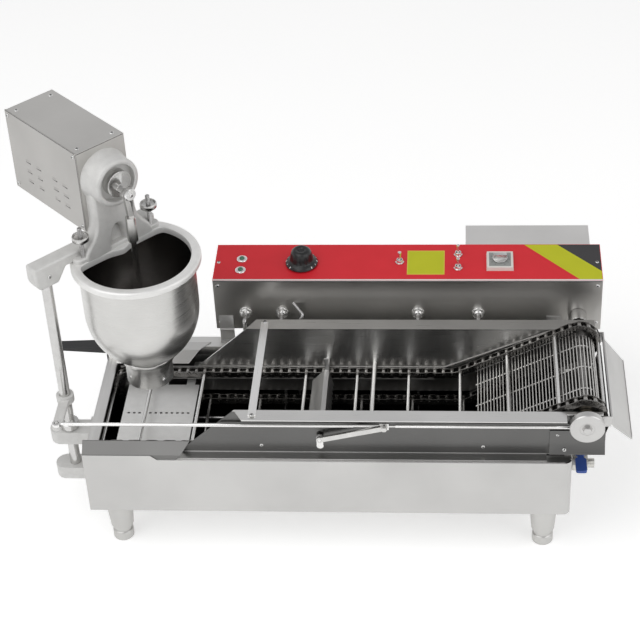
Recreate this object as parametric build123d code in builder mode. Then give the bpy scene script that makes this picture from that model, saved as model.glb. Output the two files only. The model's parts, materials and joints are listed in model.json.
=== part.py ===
# Automatic donut maker: a depositing hopper on a swinging column, a heated oil tank with a
# chain conveyor and turner, and a control box along the back.
# Millimetres. X runs along the tank, Y to the back, Z up from the floor.
import os
from math import asin, atan2, cos, degrees, floor, hypot, pi, radians, sin, sqrt, tan
from build123d import *

# Fits and sheet
run_fit = 0.05
gap = 0.3
sheet = 2.0
thin_sheet = 1.5

# Tank
tank_length = 860.0
tank_depth = 329.0
leg_height = 102.0
tank_height = 120.0
front_rim = 22.0
rear_ledge_depth = 31.0
rear_ledge_rise = 24.0
left_rim = 9.0
right_rim = 13.0
floor_gap = 10.0
corner_radius = 12.0
lip_rise = 10.0
lip_length = 122.0
lip_chamfer = 12.0

# Legs and feet
leg_inset_x = 44.0
leg_inset_y = 46.0
leg_top_radius = 26.5
leg_low_radius = 21.0
foot_radius = 19.0
foot_height = 30.0
foot_stem_radius = 8.0
foot_stem_length = 28.0

# Conveyor frame
web_front_y = 24.0
lane_width = 232.0
channel_height = 96.0
top_flange = 27.0
low_flange = 19.0
channel_left_inset = 168.0
channel_slant = 106.0
channel_past_tank = 50.0
rail_width = 18.0
tie_bar_width = 14.0
tie_bar_thick = 3.0
tie_bar_inset = 33.0
cross_tie_radius = 4.0

# Roller chain, double pitch, on twelve-tooth sprockets
link_pitch = 31.75
links_per_turn = 6
sprocket_teeth = 12
links_per_flight = 3
roller_radius = 4.8
roller_half = 4.8
plate_thick = 1.6
plate_height = 13.0
chain_side_gap = 1.5
chain_above_deck = 3.0
tooth_rise = 0.55
pocket_radius = 7.2
sprocket_thick = 5.0
hub_radius = 14.0
flight_radius = 3.5
flight_ref_x = 46.5
climb_before_end = 203.0

# Drive
drive_past_tank = 22.0
drive_above_deck = 81.0
shaft_radius = 8.0
journal_radius = 5.0
idler_radius = 6.0
bush_radius = 11.0
bush_flange_radius = 15.0
sleeve_radius = 17.0
sleeve_neck_radius = 12.5
disc_radius = 30.0
disc_thick = 14.0
disc_front_y = -4.0
disc_bolt = 6.0
crank_throw = 13.0
crank_pin_radius = 4.0

# Link rod and rocker
rod_radius = 2.5
rod_y = 17.5
eye_radius = 8.0
eye_thick = 6.0
rocker_pin_radius = 3.0
rocker_play = 1.3

# Turner
flipper_x = -8.0
flipper_above_deck = 24.0
flipper_shaft_radius = 4.0
flipper_throw = 17.0
flipper_edge_in = 36.0
link_reach_x = 113.0
link_rise = 27.0
link_thick = 5.0
link_width = 10.0
link_pin_radius = 3.0

# Column and depositor
column_out = 40.0
column_y = 100.0
column_radius = 10.0
column_sides = 16
ear_radius = 20.0
ear_past_column = 16.0
ear_height = 26.0
lower_ear_rise = 4.0
upper_ear_rise = 87.0
hopper_inset = 110.0
hopper_y = 146.0
head_turn = 45.0
ring_outer = 113.0
ring_inner = 96.0
ring_bottom = 548.0
ring_thick = 12.0
hopper_sides = 36
bowl_radius = 101.0
bowl_straight = 92.0
bowl_depth = 197.0
bowl_mouth_radius = 44.0
neck_radius = 42.0
neck_wall = 3.0
neck_length = 53.0
arm_thick = 20.0
arm_width = 30.0
arm_deep = 45.0
boss_radius = 45.0
crank_axis_z = 696.0
head_front = -24.0
head_back = -66.0
plunger_throw = 8.0
motor_box_length = 212.0
motor_box_half = 50.0
motor_box_bottom = 601.0
motor_box_height = 156.0
stud_radius = 4.0
stud_u = -51.0
stud_v = 72.0
stud_height = 68.0
chord_u = -42.0

# Control box
box_left_inset = 209.0
box_past_tank = 65.0
box_depth = 107.0
box_lift = 50.0
box_height = 110.0
panel_rise = 6.0
housing_left_inset = 676.0
housing_right_past = 47.0
housing_depth = 67.0

# Shared stations
left_x = -tank_length / 2
right_x = tank_length / 2
deck_z = leg_height + tank_height
ledge_z = deck_z + rear_ledge_rise
basin_rear_y = tank_depth - rear_ledge_depth
basin_floor_z = leg_height + floor_gap
drain_y = 110.0
drain_z = basin_floor_z + 16.0
drain_radius = 9.0
basin_left_x = left_x + left_rim
basin_right_x = right_x - right_rim
frame_front_y = web_front_y + sheet
frame_rear_y = frame_front_y + lane_width
mid_y = (frame_front_y + frame_rear_y) / 2
channel_left_x = left_x + channel_left_inset
channel_right_x = right_x + channel_past_tank
channel_top_z = deck_z + channel_height
flange_left_x = channel_left_x + channel_slant
chain_half = roller_half + 2 * plate_thick
chain_y_front = frame_front_y + sheet + chain_side_gap + chain_half
chain_y_rear = 2 * mid_y - chain_y_front
chain_z = deck_z + chain_above_deck
drive_x = right_x + drive_past_tank
drive_z = deck_z + drive_above_deck
climb_x = right_x - climb_before_end
box_front_y = tank_depth - 9.0
box_rear_y = box_front_y + box_depth
box_left_x = left_x + box_left_inset
box_right_x = right_x + box_past_tank
box_bottom_z = deck_z + box_lift
box_top_z = box_bottom_z + box_height
rod_z = drive_z - crank_throw
flipper_z = deck_z + flipper_above_deck
flipper_half = lane_width / 2 - flipper_edge_in
column_x = left_x - column_out
hopper_x = left_x + hopper_inset


def side_plane(y):
    """Upright plane at depth y, drawn in X and Z and facing the front."""
    return Plane(origin=(0, y, 0), x_dir=(1, 0, 0), z_dir=(0, -1, 0))


def link_plane(x, y, z, angle):
    """Side plane at (x, y, z) turned up by angle in degrees."""
    turn = radians(angle)
    return Plane(origin=(x, y, z), x_dir=(cos(turn), 0, sin(turn)), z_dir=(0, -1, 0))


def bar(radius, sides=12):
    """Section of a round bar, drawn with flats."""
    RegularPolygon(radius, sides)


def bar_hole(radius, sides=12):
    """Hole with the same flats as a fixed bar of this radius."""
    RegularPolygon(radius, sides, mode=Mode.SUBTRACT)


def bore(radius, sides=12):
    """Hole whose flats clear a round bar of this radius."""
    RegularPolygon(radius, sides, major_radius=False, mode=Mode.SUBTRACT)


# Chain path: level run, climb, drive wrap, return climb, level return, idler wrap.
wrap_radius = link_pitch / (2 * sin(pi / links_per_turn))
tooth_tip_radius = wrap_radius + tooth_rise
wrap_rate = link_pitch * links_per_turn / (2 * pi)
reach = hypot(drive_x - climb_x, drive_z - chain_z)
climb = atan2(drive_z - chain_z, drive_x - climb_x) + asin(wrap_radius / reach)
climb_run = sqrt(reach**2 - wrap_radius**2)
knee = 2 * wrap_radius * tan(climb / 2)
idler_z = chain_z - wrap_radius
fixed_run = 2 * climb_run + 2 * knee + 2 * pi * wrap_rate
most_level = climb_x - (basin_left_x + wrap_radius + plate_height / 2 + sheet)
chain_links = 6 * floor((fixed_run + 2 * most_level) / (6 * link_pitch))
level_run = (chain_links * link_pitch - fixed_run) / 2
idler_x = climb_x - level_run


def chain_point(s):
    """Position of a pin that is s along the loop from the top of the idler."""
    s = s % (chain_links * link_pitch)
    if s <= level_run:
        return idler_x + s, chain_z
    s -= level_run
    if s <= climb_run:
        return climb_x + s * cos(climb), chain_z + s * sin(climb)
    s -= climb_run
    if s <= pi * wrap_rate:
        turn = pi / 2 + climb - s / wrap_rate
        return drive_x + wrap_radius * cos(turn), drive_z + wrap_radius * sin(turn)
    s -= pi * wrap_rate
    if s <= climb_run + knee:
        start_x = drive_x + wrap_radius * sin(climb)
        start_z = drive_z - wrap_radius * cos(climb)
        return start_x - s * cos(climb), start_z - s * sin(climb)
    s -= climb_run + knee
    if s <= level_run + knee:
        return climb_x + knee - s, chain_z - 2 * wrap_radius
    s -= level_run + knee
    turn = -pi / 2 - s / wrap_rate
    return idler_x + wrap_radius * cos(turn), idler_z + wrap_radius * sin(turn)


pin_start = (flight_ref_x - idler_x) % link_pitch
first_flight = round((flight_ref_x - idler_x - pin_start) / link_pitch)
pins = [chain_point(pin_start + k * link_pitch) for k in range(chain_links)]
drive_pins = [p for p in pins if abs(hypot(p[0] - drive_x, p[1] - drive_z) - wrap_radius) < 0.01]
idler_pins = [p for p in pins if abs(hypot(p[0] - idler_x, p[1] - idler_z) - wrap_radius) < 0.01]
drive_phase = degrees(atan2(drive_pins[0][1] - drive_z, drive_pins[0][0] - drive_x))
idler_phase = degrees(atan2(idler_pins[0][1] - idler_z, idler_pins[0][0] - idler_x))
print("links", chain_links, "idler x", round(idler_x, 2), "climb", round(degrees(climb), 2))

# Tank casing: sides, back and bottom in sheet, open at the front and top.
with BuildPart() as tank_casing:
    with BuildSketch(Plane.XY.offset(leg_height)):
        with Locations((0, (sheet + tank_depth) / 2)):
            Rectangle(tank_length, tank_depth - sheet)
        with BuildSketch(Plane.XY.offset(leg_height), mode=Mode.SUBTRACT):
            with Locations((right_x, corner_radius / 2)):
                Rectangle(2 * corner_radius, corner_radius)
    extrude(amount=tank_height - sheet)
    with BuildSketch(Plane.XY.offset(leg_height + sheet)):
        with Locations((0, (tank_depth - sheet) / 2)):
            Rectangle(tank_length - 2 * sheet, tank_depth - sheet)
    extrude(amount=tank_height, mode=Mode.SUBTRACT)
    with BuildSketch(Plane.YZ.offset(right_x - 2 * sheet)):
        with Locations((drain_y, drain_z)):
            RegularPolygon(drain_radius + gap, 12, major_radius=False)
    extrude(amount=3 * sheet, mode=Mode.SUBTRACT)
tank_casing.part.label = "tank_casing"

# Front panel: sheet with a rounded right end and a raised lip at the infeed.
with BuildPart() as front_panel:
    with BuildSketch(Plane.XY.offset(leg_height)):
        with BuildLine():
            Line((left_x, 0), (right_x - corner_radius, 0))
            RadiusArc((right_x - corner_radius, 0), (right_x, corner_radius), -corner_radius)
            Line((right_x, corner_radius), (right_x - sheet, corner_radius))
            inner_start = (right_x - sheet, corner_radius)
            inner_end = (right_x - corner_radius, sheet)
            RadiusArc(inner_start, inner_end, corner_radius - sheet)
            Line((right_x - corner_radius, sheet), (left_x, sheet))
            Line((left_x, sheet), (left_x, 0))
        make_face()
    extrude(amount=tank_height)
    with BuildSketch(side_plane(sheet)):
        with BuildLine():
            Polyline(
                (left_x, deck_z),
                (left_x + lip_length + lip_chamfer, deck_z),
                (left_x + lip_length, deck_z + lip_rise),
                (left_x, deck_z + lip_rise),
                close=True,
            )
        make_face()
    extrude(amount=sheet)
front_panel.part.label = "front_panel"

# Fryer basin: deck, pan and the raised rear ledge, folded from sheet.
with BuildPart() as tank_basin:
    with BuildSketch(Plane.XY.offset(deck_z - sheet)):
        with BuildLine():
            Line((left_x, sheet), (right_x - corner_radius, sheet))
            RadiusArc(inner_end, inner_start, sheet - corner_radius)
            Polyline(
                (right_x - sheet, corner_radius),
                (right_x, corner_radius),
                (right_x, tank_depth),
                (left_x, tank_depth),
                (left_x, sheet),
            )
        make_face()
    extrude(amount=sheet)
    basin_mid_x = (basin_left_x + basin_right_x) / 2
    basin_mid_y = (front_rim + basin_rear_y) / 2
    basin_length = basin_right_x - basin_left_x
    basin_depth = basin_rear_y - front_rim
    with BuildSketch(Plane.XY.offset(basin_floor_z - sheet)):
        with Locations((basin_mid_x, basin_mid_y)):
            Rectangle(basin_length + 2 * sheet, basin_depth + 2 * sheet)
    extrude(amount=deck_z - basin_floor_z + sheet)
    with BuildSketch(Plane.YZ.offset(left_x)):
        with Locations((basin_rear_y + rear_ledge_depth / 2, (deck_z - sheet + ledge_z) / 2)):
            Rectangle(rear_ledge_depth, ledge_z - deck_z + sheet)
    extrude(amount=tank_length)
    with BuildSketch(Plane.YZ.offset(left_x + sheet)):
        with Locations((basin_rear_y + rear_ledge_depth / 2, deck_z - sheet + (ledge_z - deck_z) / 2)):
            Rectangle(rear_ledge_depth - 2 * sheet, ledge_z - deck_z)
    extrude(amount=tank_length - 2 * sheet, mode=Mode.SUBTRACT)
    with BuildSketch(Plane.XY.offset(basin_floor_z)):
        with Locations((basin_mid_x, basin_mid_y)):
            Rectangle(basin_length, basin_depth)
    extrude(amount=deck_z - basin_floor_z + 1, mode=Mode.SUBTRACT)
tank_basin.part.label = "tank_basin"

# Infeed covers: sloped guards beside the chains, cut to the slant of the side channels.
cover_top_z = deck_z + 28.0
cover_end_x = channel_left_x - 2.0
rear_cover_y = frame_rear_y + sheet + 2.0
with BuildPart() as infeed_covers:
    with BuildSketch(Plane.YZ.offset(left_x)):
        with BuildLine():
            Polyline(
                (sheet, deck_z),
                (sheet, deck_z + lip_rise),
                (front_rim - thin_sheet, cover_top_z),
                (front_rim, cover_top_z),
                (front_rim, cover_top_z - sheet),
                (sheet + sheet, deck_z + lip_rise - thin_sheet),
                (sheet + sheet, deck_z),
                close=True,
            )
        make_face()
    extrude(amount=cover_end_x - left_x + 30.0)
    with BuildSketch(side_plane(front_rim + 1)):
        with BuildLine():
            Polyline(
                (cover_end_x, deck_z - 1),
                (cover_end_x + 40.0, deck_z - 1),
                (cover_end_x + 40.0, cover_top_z + 5),
                (cover_end_x + 30.0, cover_top_z + 5),
                close=True,
            )
        make_face()
    extrude(amount=front_rim + 2, mode=Mode.SUBTRACT)
    with BuildSketch(Plane.YZ.offset(basin_left_x + 12.0)):
        with BuildLine():
            Polyline(
                (rear_cover_y, ledge_z - 14.0),
                (basin_rear_y - 12.0, ledge_z),
                (basin_rear_y + 12.0, ledge_z),
                (basin_rear_y + 12.0, ledge_z + thin_sheet),
                (basin_rear_y - 12.4, ledge_z + thin_sheet),
                (rear_cover_y, ledge_z - 14.0 + thin_sheet),
                close=True,
            )
        make_face()
    extrude(amount=channel_left_x + 40.0 - basin_left_x - 12.0)
    with BuildSketch(Plane.XY.offset(deck_z)):
        with BuildLine():
            Polyline(
                (channel_left_x - 10.0, rear_cover_y - 1),
                (channel_left_x + 60.0, rear_cover_y - 1),
                (channel_left_x + 60.0, basin_rear_y + 20.0),
                (channel_left_x + 36.0, basin_rear_y + 20.0),
                close=True,
            )
        make_face()
    extrude(amount=60.0, mode=Mode.SUBTRACT)
infeed_covers.part.label = "infeed_covers"

# Legs: four cones under the casing, bored for the screw-in feet.
leg_spots = [
    (left_x + leg_inset_x, leg_inset_y),
    (right_x - leg_inset_x, leg_inset_y),
    (left_x + leg_inset_x, tank_depth - leg_inset_y),
    (right_x - leg_inset_x, tank_depth - leg_inset_y),
]
leg_length = leg_height - foot_height
leg_taper = -degrees(atan2(leg_top_radius - leg_low_radius, leg_length))
with BuildPart() as legs:
    with BuildSketch(Plane.XY.offset(foot_height)):
        with Locations(*leg_spots):
            RegularPolygon(leg_low_radius, 16)
    extrude(amount=leg_length, taper=leg_taper)
    with BuildSketch(Plane.XY.offset(foot_height)):
        with Locations(*leg_spots):
            RegularPolygon(foot_stem_radius + run_fit, 12, major_radius=False)
    extrude(amount=foot_stem_length + gap, mode=Mode.SUBTRACT)
legs.part.label = "legs"


def make_foot(spot, label):
    """Levelling foot: a faceted pad with a stem that screws into its leg."""
    with BuildPart() as foot:
        with BuildSketch(Plane.XY):
            with Locations(spot):
                RegularPolygon(foot_radius, 16)
        extrude(amount=foot_height - gap)
        with BuildSketch(Plane.XY.offset(foot_height - gap)):
            with Locations(spot):
                RegularPolygon(foot_stem_radius, 12)
        extrude(amount=foot_stem_length)
    foot.part.label = label
    return foot


foot_front_left = make_foot(leg_spots[0], "foot_front_left")
foot_front_right = make_foot(leg_spots[1], "foot_front_right")
foot_rear_left = make_foot(leg_spots[2], "foot_rear_left")
foot_rear_right = make_foot(leg_spots[3], "foot_rear_right")

# Side handle: a flat bar standing out from the left end of the ledge.
handle_reach = 95.0
handle_y = basin_rear_y + 15.0
with BuildPart() as side_handle:
    with BuildSketch(Plane.XZ.offset(-handle_y - 12.0)):
        with BuildLine():
            Polyline(
                (left_x, ledge_z - 4.0),
                (left_x, deck_z - 20.0),
                (left_x - 4.0, deck_z - 20.0),
                (left_x - 4.0, ledge_z - 20.0),
                (left_x - handle_reach, ledge_z - 14.0),
                (left_x - handle_reach, ledge_z - 8.0),
                (left_x - 4.0, ledge_z - 4.0),
                close=True,
            )
        make_face()
    extrude(amount=24.0)
    fillet(side_handle.edges().filter_by(Axis.Z).group_by(Axis.X)[0], 2.0)
side_handle.part.label = "side_handle"

# Drain valve: a stub through the casing wall, a round body, an upright stem and a blue lever across it.
valve_body_x = right_x + 8.0
valve_body_length = 28.0
valve_body_radius = 15.0
valve_stem_x = valve_body_x + valve_body_length / 2
valve_stem_z = drain_z + valve_body_radius + 5.0
lever_length = 52.0
lever_width = 20.0
with BuildPart() as drain_valve:
    with BuildSketch(Plane.YZ.offset(basin_right_x + sheet)):
        with Locations((drain_y, drain_z)):
            bar(drain_radius)
    extrude(amount=valve_body_x - basin_right_x - sheet)
    with BuildSketch(Plane.YZ.offset(valve_body_x)):
        with Locations((drain_y, drain_z)):
            RegularPolygon(valve_body_radius, 8, rotation=22.5)
    extrude(amount=valve_body_length)
    with BuildSketch(Plane.YZ.offset(valve_body_x + valve_body_length)):
        with Locations((drain_y, drain_z)):
            bar(drain_radius)
    extrude(amount=12.0)
    with BuildSketch(Plane.XY.offset(drain_z)):
        with Locations((valve_stem_x, drain_y)):
            bar(6.0, 8)
    extrude(amount=valve_stem_z - drain_z)
    with BuildSketch(Plane.YZ.offset(valve_body_x + 2.0)):
        with Locations((drain_y, drain_z)):
            bar(drain_radius - 3.0)
    extrude(amount=60.0, mode=Mode.SUBTRACT)
drain_valve.part.label = "drain_valve"

with BuildPart() as valve_lever:
    with BuildSketch(Plane.XY.offset(valve_stem_z + gap)):
        with Locations((valve_stem_x, drain_y)):
            bar(9.0)
        with Locations((valve_stem_x, drain_y - 10.0)):
            Rectangle(12.0, 20.0)
        with Locations((valve_stem_x, drain_y - 16.0 - (lever_length - 16.0) / 2)):
            RectangleRounded(lever_width, lever_length - 16.0, 5.0)
    extrude(amount=6.0)
valve_lever.part.label = "valve_lever"

# Column bracket: wall plate with two long rounded ears, bored for the column.
ear_end_x = column_x - ear_past_column
with BuildPart() as column_bracket:
    with BuildSketch(Plane.YZ.offset(left_x - 4.0)):
        with Locations((column_y, leg_height + tank_height / 2)):
            Rectangle(2 * ear_radius + 8.0, tank_height - 6.0)
    extrude(amount=4.0)
    for rise in (lower_ear_rise, upper_ear_rise):
        with BuildSketch(Plane.XY.offset(leg_height + rise)):
            with Locations((ear_end_x, column_y)):
                RegularPolygon(ear_radius, 16, rotation=11.25, major_radius=False)
            with Locations(((ear_end_x + left_x) / 2, column_y)):
                Rectangle(left_x - ear_end_x, 2 * ear_radius)
        extrude(amount=ear_height)
    with BuildSketch(Plane.XY.offset(leg_height)):
        with Locations((column_x, column_y)):
            RegularPolygon(column_radius + run_fit, column_sides, major_radius=False)
    extrude(amount=tank_height, mode=Mode.SUBTRACT)
column_bracket.part.label = "column_bracket"

# Side channels: slanted at the infeed, flanged outward top and bottom.
drive_hole = bush_radius
flipper_hole = flipper_shaft_radius + run_fit


def make_channel(web_y, outward, label):
    """Sheet channel with its web from web_y to web_y + sheet and its flanges on the outward side."""
    face_y = web_y if outward < 0 else web_y + sheet
    with BuildPart() as channel:
        with BuildSketch(side_plane(web_y + sheet)):
            with BuildLine():
                Polyline(
                    (channel_left_x, deck_z),
                    (channel_right_x, deck_z),
                    (channel_right_x, channel_top_z),
                    (flange_left_x, channel_top_z),
                    close=True,
                )
            make_face()
            with Locations((drive_x, drive_z)):
                bar_hole(drive_hole)
            with Locations((flipper_x, flipper_z)):
                bore(flipper_hole)
        extrude(amount=sheet)
        with BuildSketch(Plane.XY.offset(channel_top_z - sheet)):
            with BuildLine():
                Polyline(
                    (flange_left_x, face_y),
                    (channel_right_x, face_y),
                    (channel_right_x, face_y + outward * top_flange),
                    (flange_left_x + 16.0, face_y + outward * top_flange),
                    close=True,
                )
            make_face()
            if outward < 0:
                notch_depth = rod_y - disc_front_y + 2.0
                with Locations((drive_x, rod_y - notch_depth / 2)):
                    Rectangle(2 * disc_radius + 8.0, notch_depth, mode=Mode.SUBTRACT)
        extrude(amount=sheet)
        with BuildSketch(Plane.XY.offset(deck_z)):
            low_right_x = drive_x - 66.0
            with Locations(((channel_left_x + low_right_x) / 2, face_y + outward * low_flange / 2)):
                Rectangle(low_right_x - channel_left_x, low_flange)
        extrude(amount=sheet)
    channel.part.label = label
    return channel


side_channel_front = make_channel(web_front_y, -1, "side_channel_front")
side_channel_rear = make_channel(frame_rear_y, 1, "side_channel_rear")

# Chain frames: inner side plates that hang into the basin and carry rails and idler.
frame_low_z = idler_z - 18.0


with BuildPart() as chain_frames:
    with BuildSketch(side_plane(frame_front_y + sheet), side_plane(frame_rear_y)):
        with BuildLine():
            Polyline(
                (idler_x - 20.0, frame_low_z),
                (climb_x + 35.0, frame_low_z),
                (channel_right_x - 2.0, drive_z - 32.0),
                (channel_right_x - 2.0, channel_top_z - sheet),
                (drive_x - 52.0, channel_top_z - sheet),
                (climb_x - 20.0, chain_z + 6.0),
                (idler_x - 20.0, chain_z + 6.0),
                close=True,
            )
        make_face()
        with Locations((drive_x, drive_z)):
            bar_hole(drive_hole)
        with Locations((idler_x, idler_z)):
            bore(idler_radius + run_fit)
    extrude(amount=sheet)
chain_frames.part.label = "chain_frames"

# Guide rails: ledges that the chains slide on, level and then up the climb.
rail_drop = plate_height / 2 + 0.5
rail_stop = 26.0
up = (-sin(climb), cos(climb))


def on_climb(s, lift):
    """Point s along the climb and lift above the pitch line."""
    return climb_x + s * cos(climb) + lift * up[0], chain_z + s * sin(climb) + lift * up[1]


# The ledges stop short of the knee, where a tilted link dips below the line of its pins.
rail_break = link_pitch + plate_height / 2
rail_front_y = frame_front_y + sheet + rail_width
rail_rear_y = frame_rear_y - sheet - rail_width
with BuildPart() as guide_rails:
    with BuildSketch(side_plane(rail_front_y), side_plane(frame_rear_y - sheet)):
        level_length = level_run - rail_stop - rail_break
        with Locations((idler_x + rail_stop + level_length / 2, chain_z - rail_drop - sheet / 2)):
            Rectangle(level_length, sheet)
        climb_length = climb_run - rail_stop - rail_break
        climb_mid = on_climb(rail_break + climb_length / 2, -rail_drop - sheet / 2)
        with Locations(Location(climb_mid, degrees(climb))):
            Rectangle(climb_length, sheet)
    extrude(amount=rail_width)
guide_rails.part.label = "guide_rails"

# Tie bar across the top flanges and a cross tie between the webs.
tie_bar_x = flange_left_x + tie_bar_inset
cross_tie_x = 78.0
cross_tie_z = chain_z + plate_height / 2 + cross_tie_radius + 2.5
with BuildPart() as cross_ties:
    with BuildSketch(Plane.XY.offset(channel_top_z)):
        with Locations((tie_bar_x, mid_y)):
            Rectangle(tie_bar_width, lane_width + 2 * sheet + 32.0)
    extrude(amount=tie_bar_thick)
    with BuildSketch(side_plane(frame_rear_y)):
        with Locations((cross_tie_x, cross_tie_z)):
            bar(cross_tie_radius, 8)
    extrude(amount=lane_width)
cross_ties.part.label = "cross_ties"

# Conveyor brackets: hooks that hang the rear channel on the ledge, and the joggled plate
# on the front channel below the crank disc.
with BuildPart() as conveyor_brackets:
    for hook_x in (channel_left_x + 80.0, 30.0, basin_right_x - 40.0):
        with BuildSketch(Plane.YZ.offset(hook_x)):
            with BuildLine():
                Polyline(
                    (frame_rear_y + sheet, deck_z + sheet),
                    (frame_rear_y + sheet, deck_z + 30.0),
                    (basin_rear_y + 14.0, deck_z + 30.0),
                    (basin_rear_y + 14.0, ledge_z),
                    (basin_rear_y, ledge_z),
                    (basin_rear_y, ledge_z - 10.0),
                    (frame_rear_y + sheet + 8.0, deck_z + sheet),
                    close=True,
                )
            make_face()
        extrude(amount=3.0)
    with BuildSketch(Plane.YZ.offset(drive_x - 62.0)):
        with BuildLine():
            Polyline(
                (web_front_y, deck_z + 56.0),
                (web_front_y, deck_z + 27.0),
                (sheet + 4.0, deck_z),
                (sheet + 1.0, deck_z),
                (web_front_y - sheet, deck_z + 28.4),
                (web_front_y - sheet, deck_z + 56.0),
                close=True,
            )
        make_face()
    extrude(amount=96.0)
    with BuildSketch(side_plane(web_front_y)):
        with Locations((drive_x - 36.0, deck_z + 13.0)):
            bar(3.0, 8)
    extrude(amount=web_front_y, mode=Mode.SUBTRACT)
conveyor_brackets.part.label = "conveyor_brackets"

# Drive bearings: flanged bushes in the webs.
bush_spans = (
    (frame_front_y + sheet, web_front_y - sheet),
    (frame_rear_y + 2 * sheet, frame_rear_y - sheet),
)
with BuildPart() as drive_bearings:
    for back_y, front_y in bush_spans:
        with BuildSketch(side_plane(back_y)):
            with Locations((drive_x, drive_z)):
                bar(bush_radius)
        extrude(amount=back_y - front_y)
    with BuildSketch(side_plane(frame_front_y + sheet + 5.5)):
        with Locations((drive_x, drive_z)):
            bar(bush_flange_radius)
    extrude(amount=5.5)
    with BuildSketch(side_plane(frame_rear_y - sheet)):
        with Locations((drive_x, drive_z)):
            bar(bush_flange_radius)
    extrude(amount=5.5)
    with BuildSketch(side_plane(tank_depth)):
        with Locations((drive_x, drive_z)):
            RegularPolygon(shaft_radius + run_fit, 16, major_radius=False)
    extrude(amount=tank_depth, mode=Mode.SUBTRACT)
drive_bearings.part.label = "drive_bearings"

# Sprocket outline: a round blank with a notched pocket for each roller position.
def sprocket_outline(x, z, phase):
    """Toothed wheel about (x, z), its pockets set to the chain's pins."""
    with Locations((x, z)):
        RegularPolygon(tooth_tip_radius, 2 * sprocket_teeth, rotation=phase + 90 / sprocket_teeth)
        with PolarLocations(wrap_radius, sprocket_teeth, start_angle=phase):
            RegularPolygon(pocket_radius, 4, mode=Mode.SUBTRACT)


hub_length = 12.0
hub_backs = (chain_y_front + hub_length, chain_y_rear)
wheel_backs = (chain_y_front + sprocket_thick / 2, chain_y_rear + sprocket_thick / 2)

# Drive shaft: journal behind the disc, main shaft with both wheels, and the coupling sleeve to the box.
sleeve_step_y = frame_rear_y + sheet + top_flange + 4.0
box_inner_y = box_front_y + thin_sheet
with BuildPart() as drive_shaft:
    for back_y, front_y, radius in (
        (web_front_y - sheet, disc_front_y + disc_thick, journal_radius),
        (box_inner_y + 40.0, web_front_y - sheet, shaft_radius),
        (sleeve_step_y, frame_rear_y + 2 * sheet + gap, sleeve_neck_radius),
        (box_front_y - gap, sleeve_step_y, sleeve_radius),
    ):
        with BuildSketch(side_plane(back_y)):
            with Locations((drive_x, drive_z)):
                bar(radius)
        extrude(amount=back_y - front_y)
    with BuildSketch(*[side_plane(y) for y in hub_backs]):
        with Locations((drive_x, drive_z)):
            bar(hub_radius)
    extrude(amount=hub_length)
    with BuildSketch(*[side_plane(y) for y in wheel_backs]):
        sprocket_outline(drive_x, drive_z, drive_phase)
    extrude(amount=sprocket_thick)
drive_shaft.part.label = "drive_shaft"

# Idler: plain shaft between the chain frames with both wheels.
with BuildPart() as idler_shaft:
    with BuildSketch(side_plane(frame_rear_y + sheet)):
        with Locations((idler_x, idler_z)):
            bar(idler_radius)
    extrude(amount=lane_width + 2 * sheet)
    with BuildSketch(*[side_plane(y) for y in hub_backs]):
        with Locations((idler_x, idler_z)):
            bar(hub_radius)
    extrude(amount=hub_length)
    with BuildSketch(*[side_plane(y) for y in wheel_backs]):
        sprocket_outline(idler_x, idler_z, idler_phase)
    extrude(amount=sprocket_thick)
idler_shaft.part.label = "idler_shaft"

# Crank disc: polished disc with a hex bolt in front and a crank pin behind.
pin_end_y = rod_y - eye_thick / 2 - gap
with BuildPart() as crank_disc:
    with BuildSketch(side_plane(disc_front_y + disc_thick)):
        with Locations((drive_x, drive_z)):
            bar(disc_radius, 32)
    extrude(amount=disc_thick)
    with BuildSketch(side_plane(disc_front_y)):
        with Locations((drive_x, drive_z)):
            RegularPolygon(8.0, 6)
    extrude(amount=disc_bolt)
    with BuildSketch(side_plane(pin_end_y)):
        with Locations((drive_x, rod_z)):
            bar(crank_pin_radius)
    extrude(amount=pin_end_y - disc_front_y - disc_thick)
crank_disc.part.label = "crank_disc"


# Chains: flat side plates, inner and outer links in turn, with faceted rollers at the pins.
def link_planes(y, first):
    """Planes at the middle of every second link, counted from first."""
    planes = []
    for k in range(first, chain_links, 2):
        a = pins[k]
        b = pins[(k + 1) % chain_links]
        angle = degrees(atan2(b[1] - a[1], b[0] - a[0]))
        planes.append(link_plane((a[0] + b[0]) / 2, y, (a[1] + b[1]) / 2, angle))
    return planes


plate_length = link_pitch + plate_height - 1.0
with BuildPart() as chains:
    for first, near in ((0, roller_half), (1, roller_half + plate_thick)):
        for y in (chain_y_front + near + plate_thick, chain_y_front - near):
            with BuildSketch(*link_planes(y, first)):
                Rectangle(plate_length, plate_height)
            extrude(amount=plate_thick)
    with BuildSketch(side_plane(chain_y_front + roller_half)):
        with Locations(*pins):
            RegularPolygon(roller_radius, 4)
    extrude(amount=2 * roller_half)
    mirror(about=Plane.XZ.offset(-mid_y))
chains.part.label = "chains"

# Flights: cross rods between the chains, every third link.
flight_pins = [pins[k] for k in range(first_flight % links_per_flight, chain_links, links_per_flight)]
with BuildPart() as flights:
    with BuildSketch(side_plane(chain_y_rear - chain_half)):
        with Locations(*flight_pins):
            bar(flight_radius, 6)
    extrude(amount=chain_y_rear - chain_y_front - 2 * chain_half)
flights.part.label = "flights"

# Drain grille: cross wires up the climb and round the drive end, on long wires.
wire_radius = 2.0
long_wire = 3.0
wire_flat = wire_radius * cos(pi / 6)
wire_lift = -rail_drop - sheet / 2
wire_step = 11.0
wire_count = 17
grille_start = rail_break + 4.0
curl_count = 5
curl_radius = wrap_radius + wire_lift
curl_step = 25.0
weld_gap = 0.2
long_top = wire_lift - wire_flat - weld_gap
long_outer = wrap_radius + long_top


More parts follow.
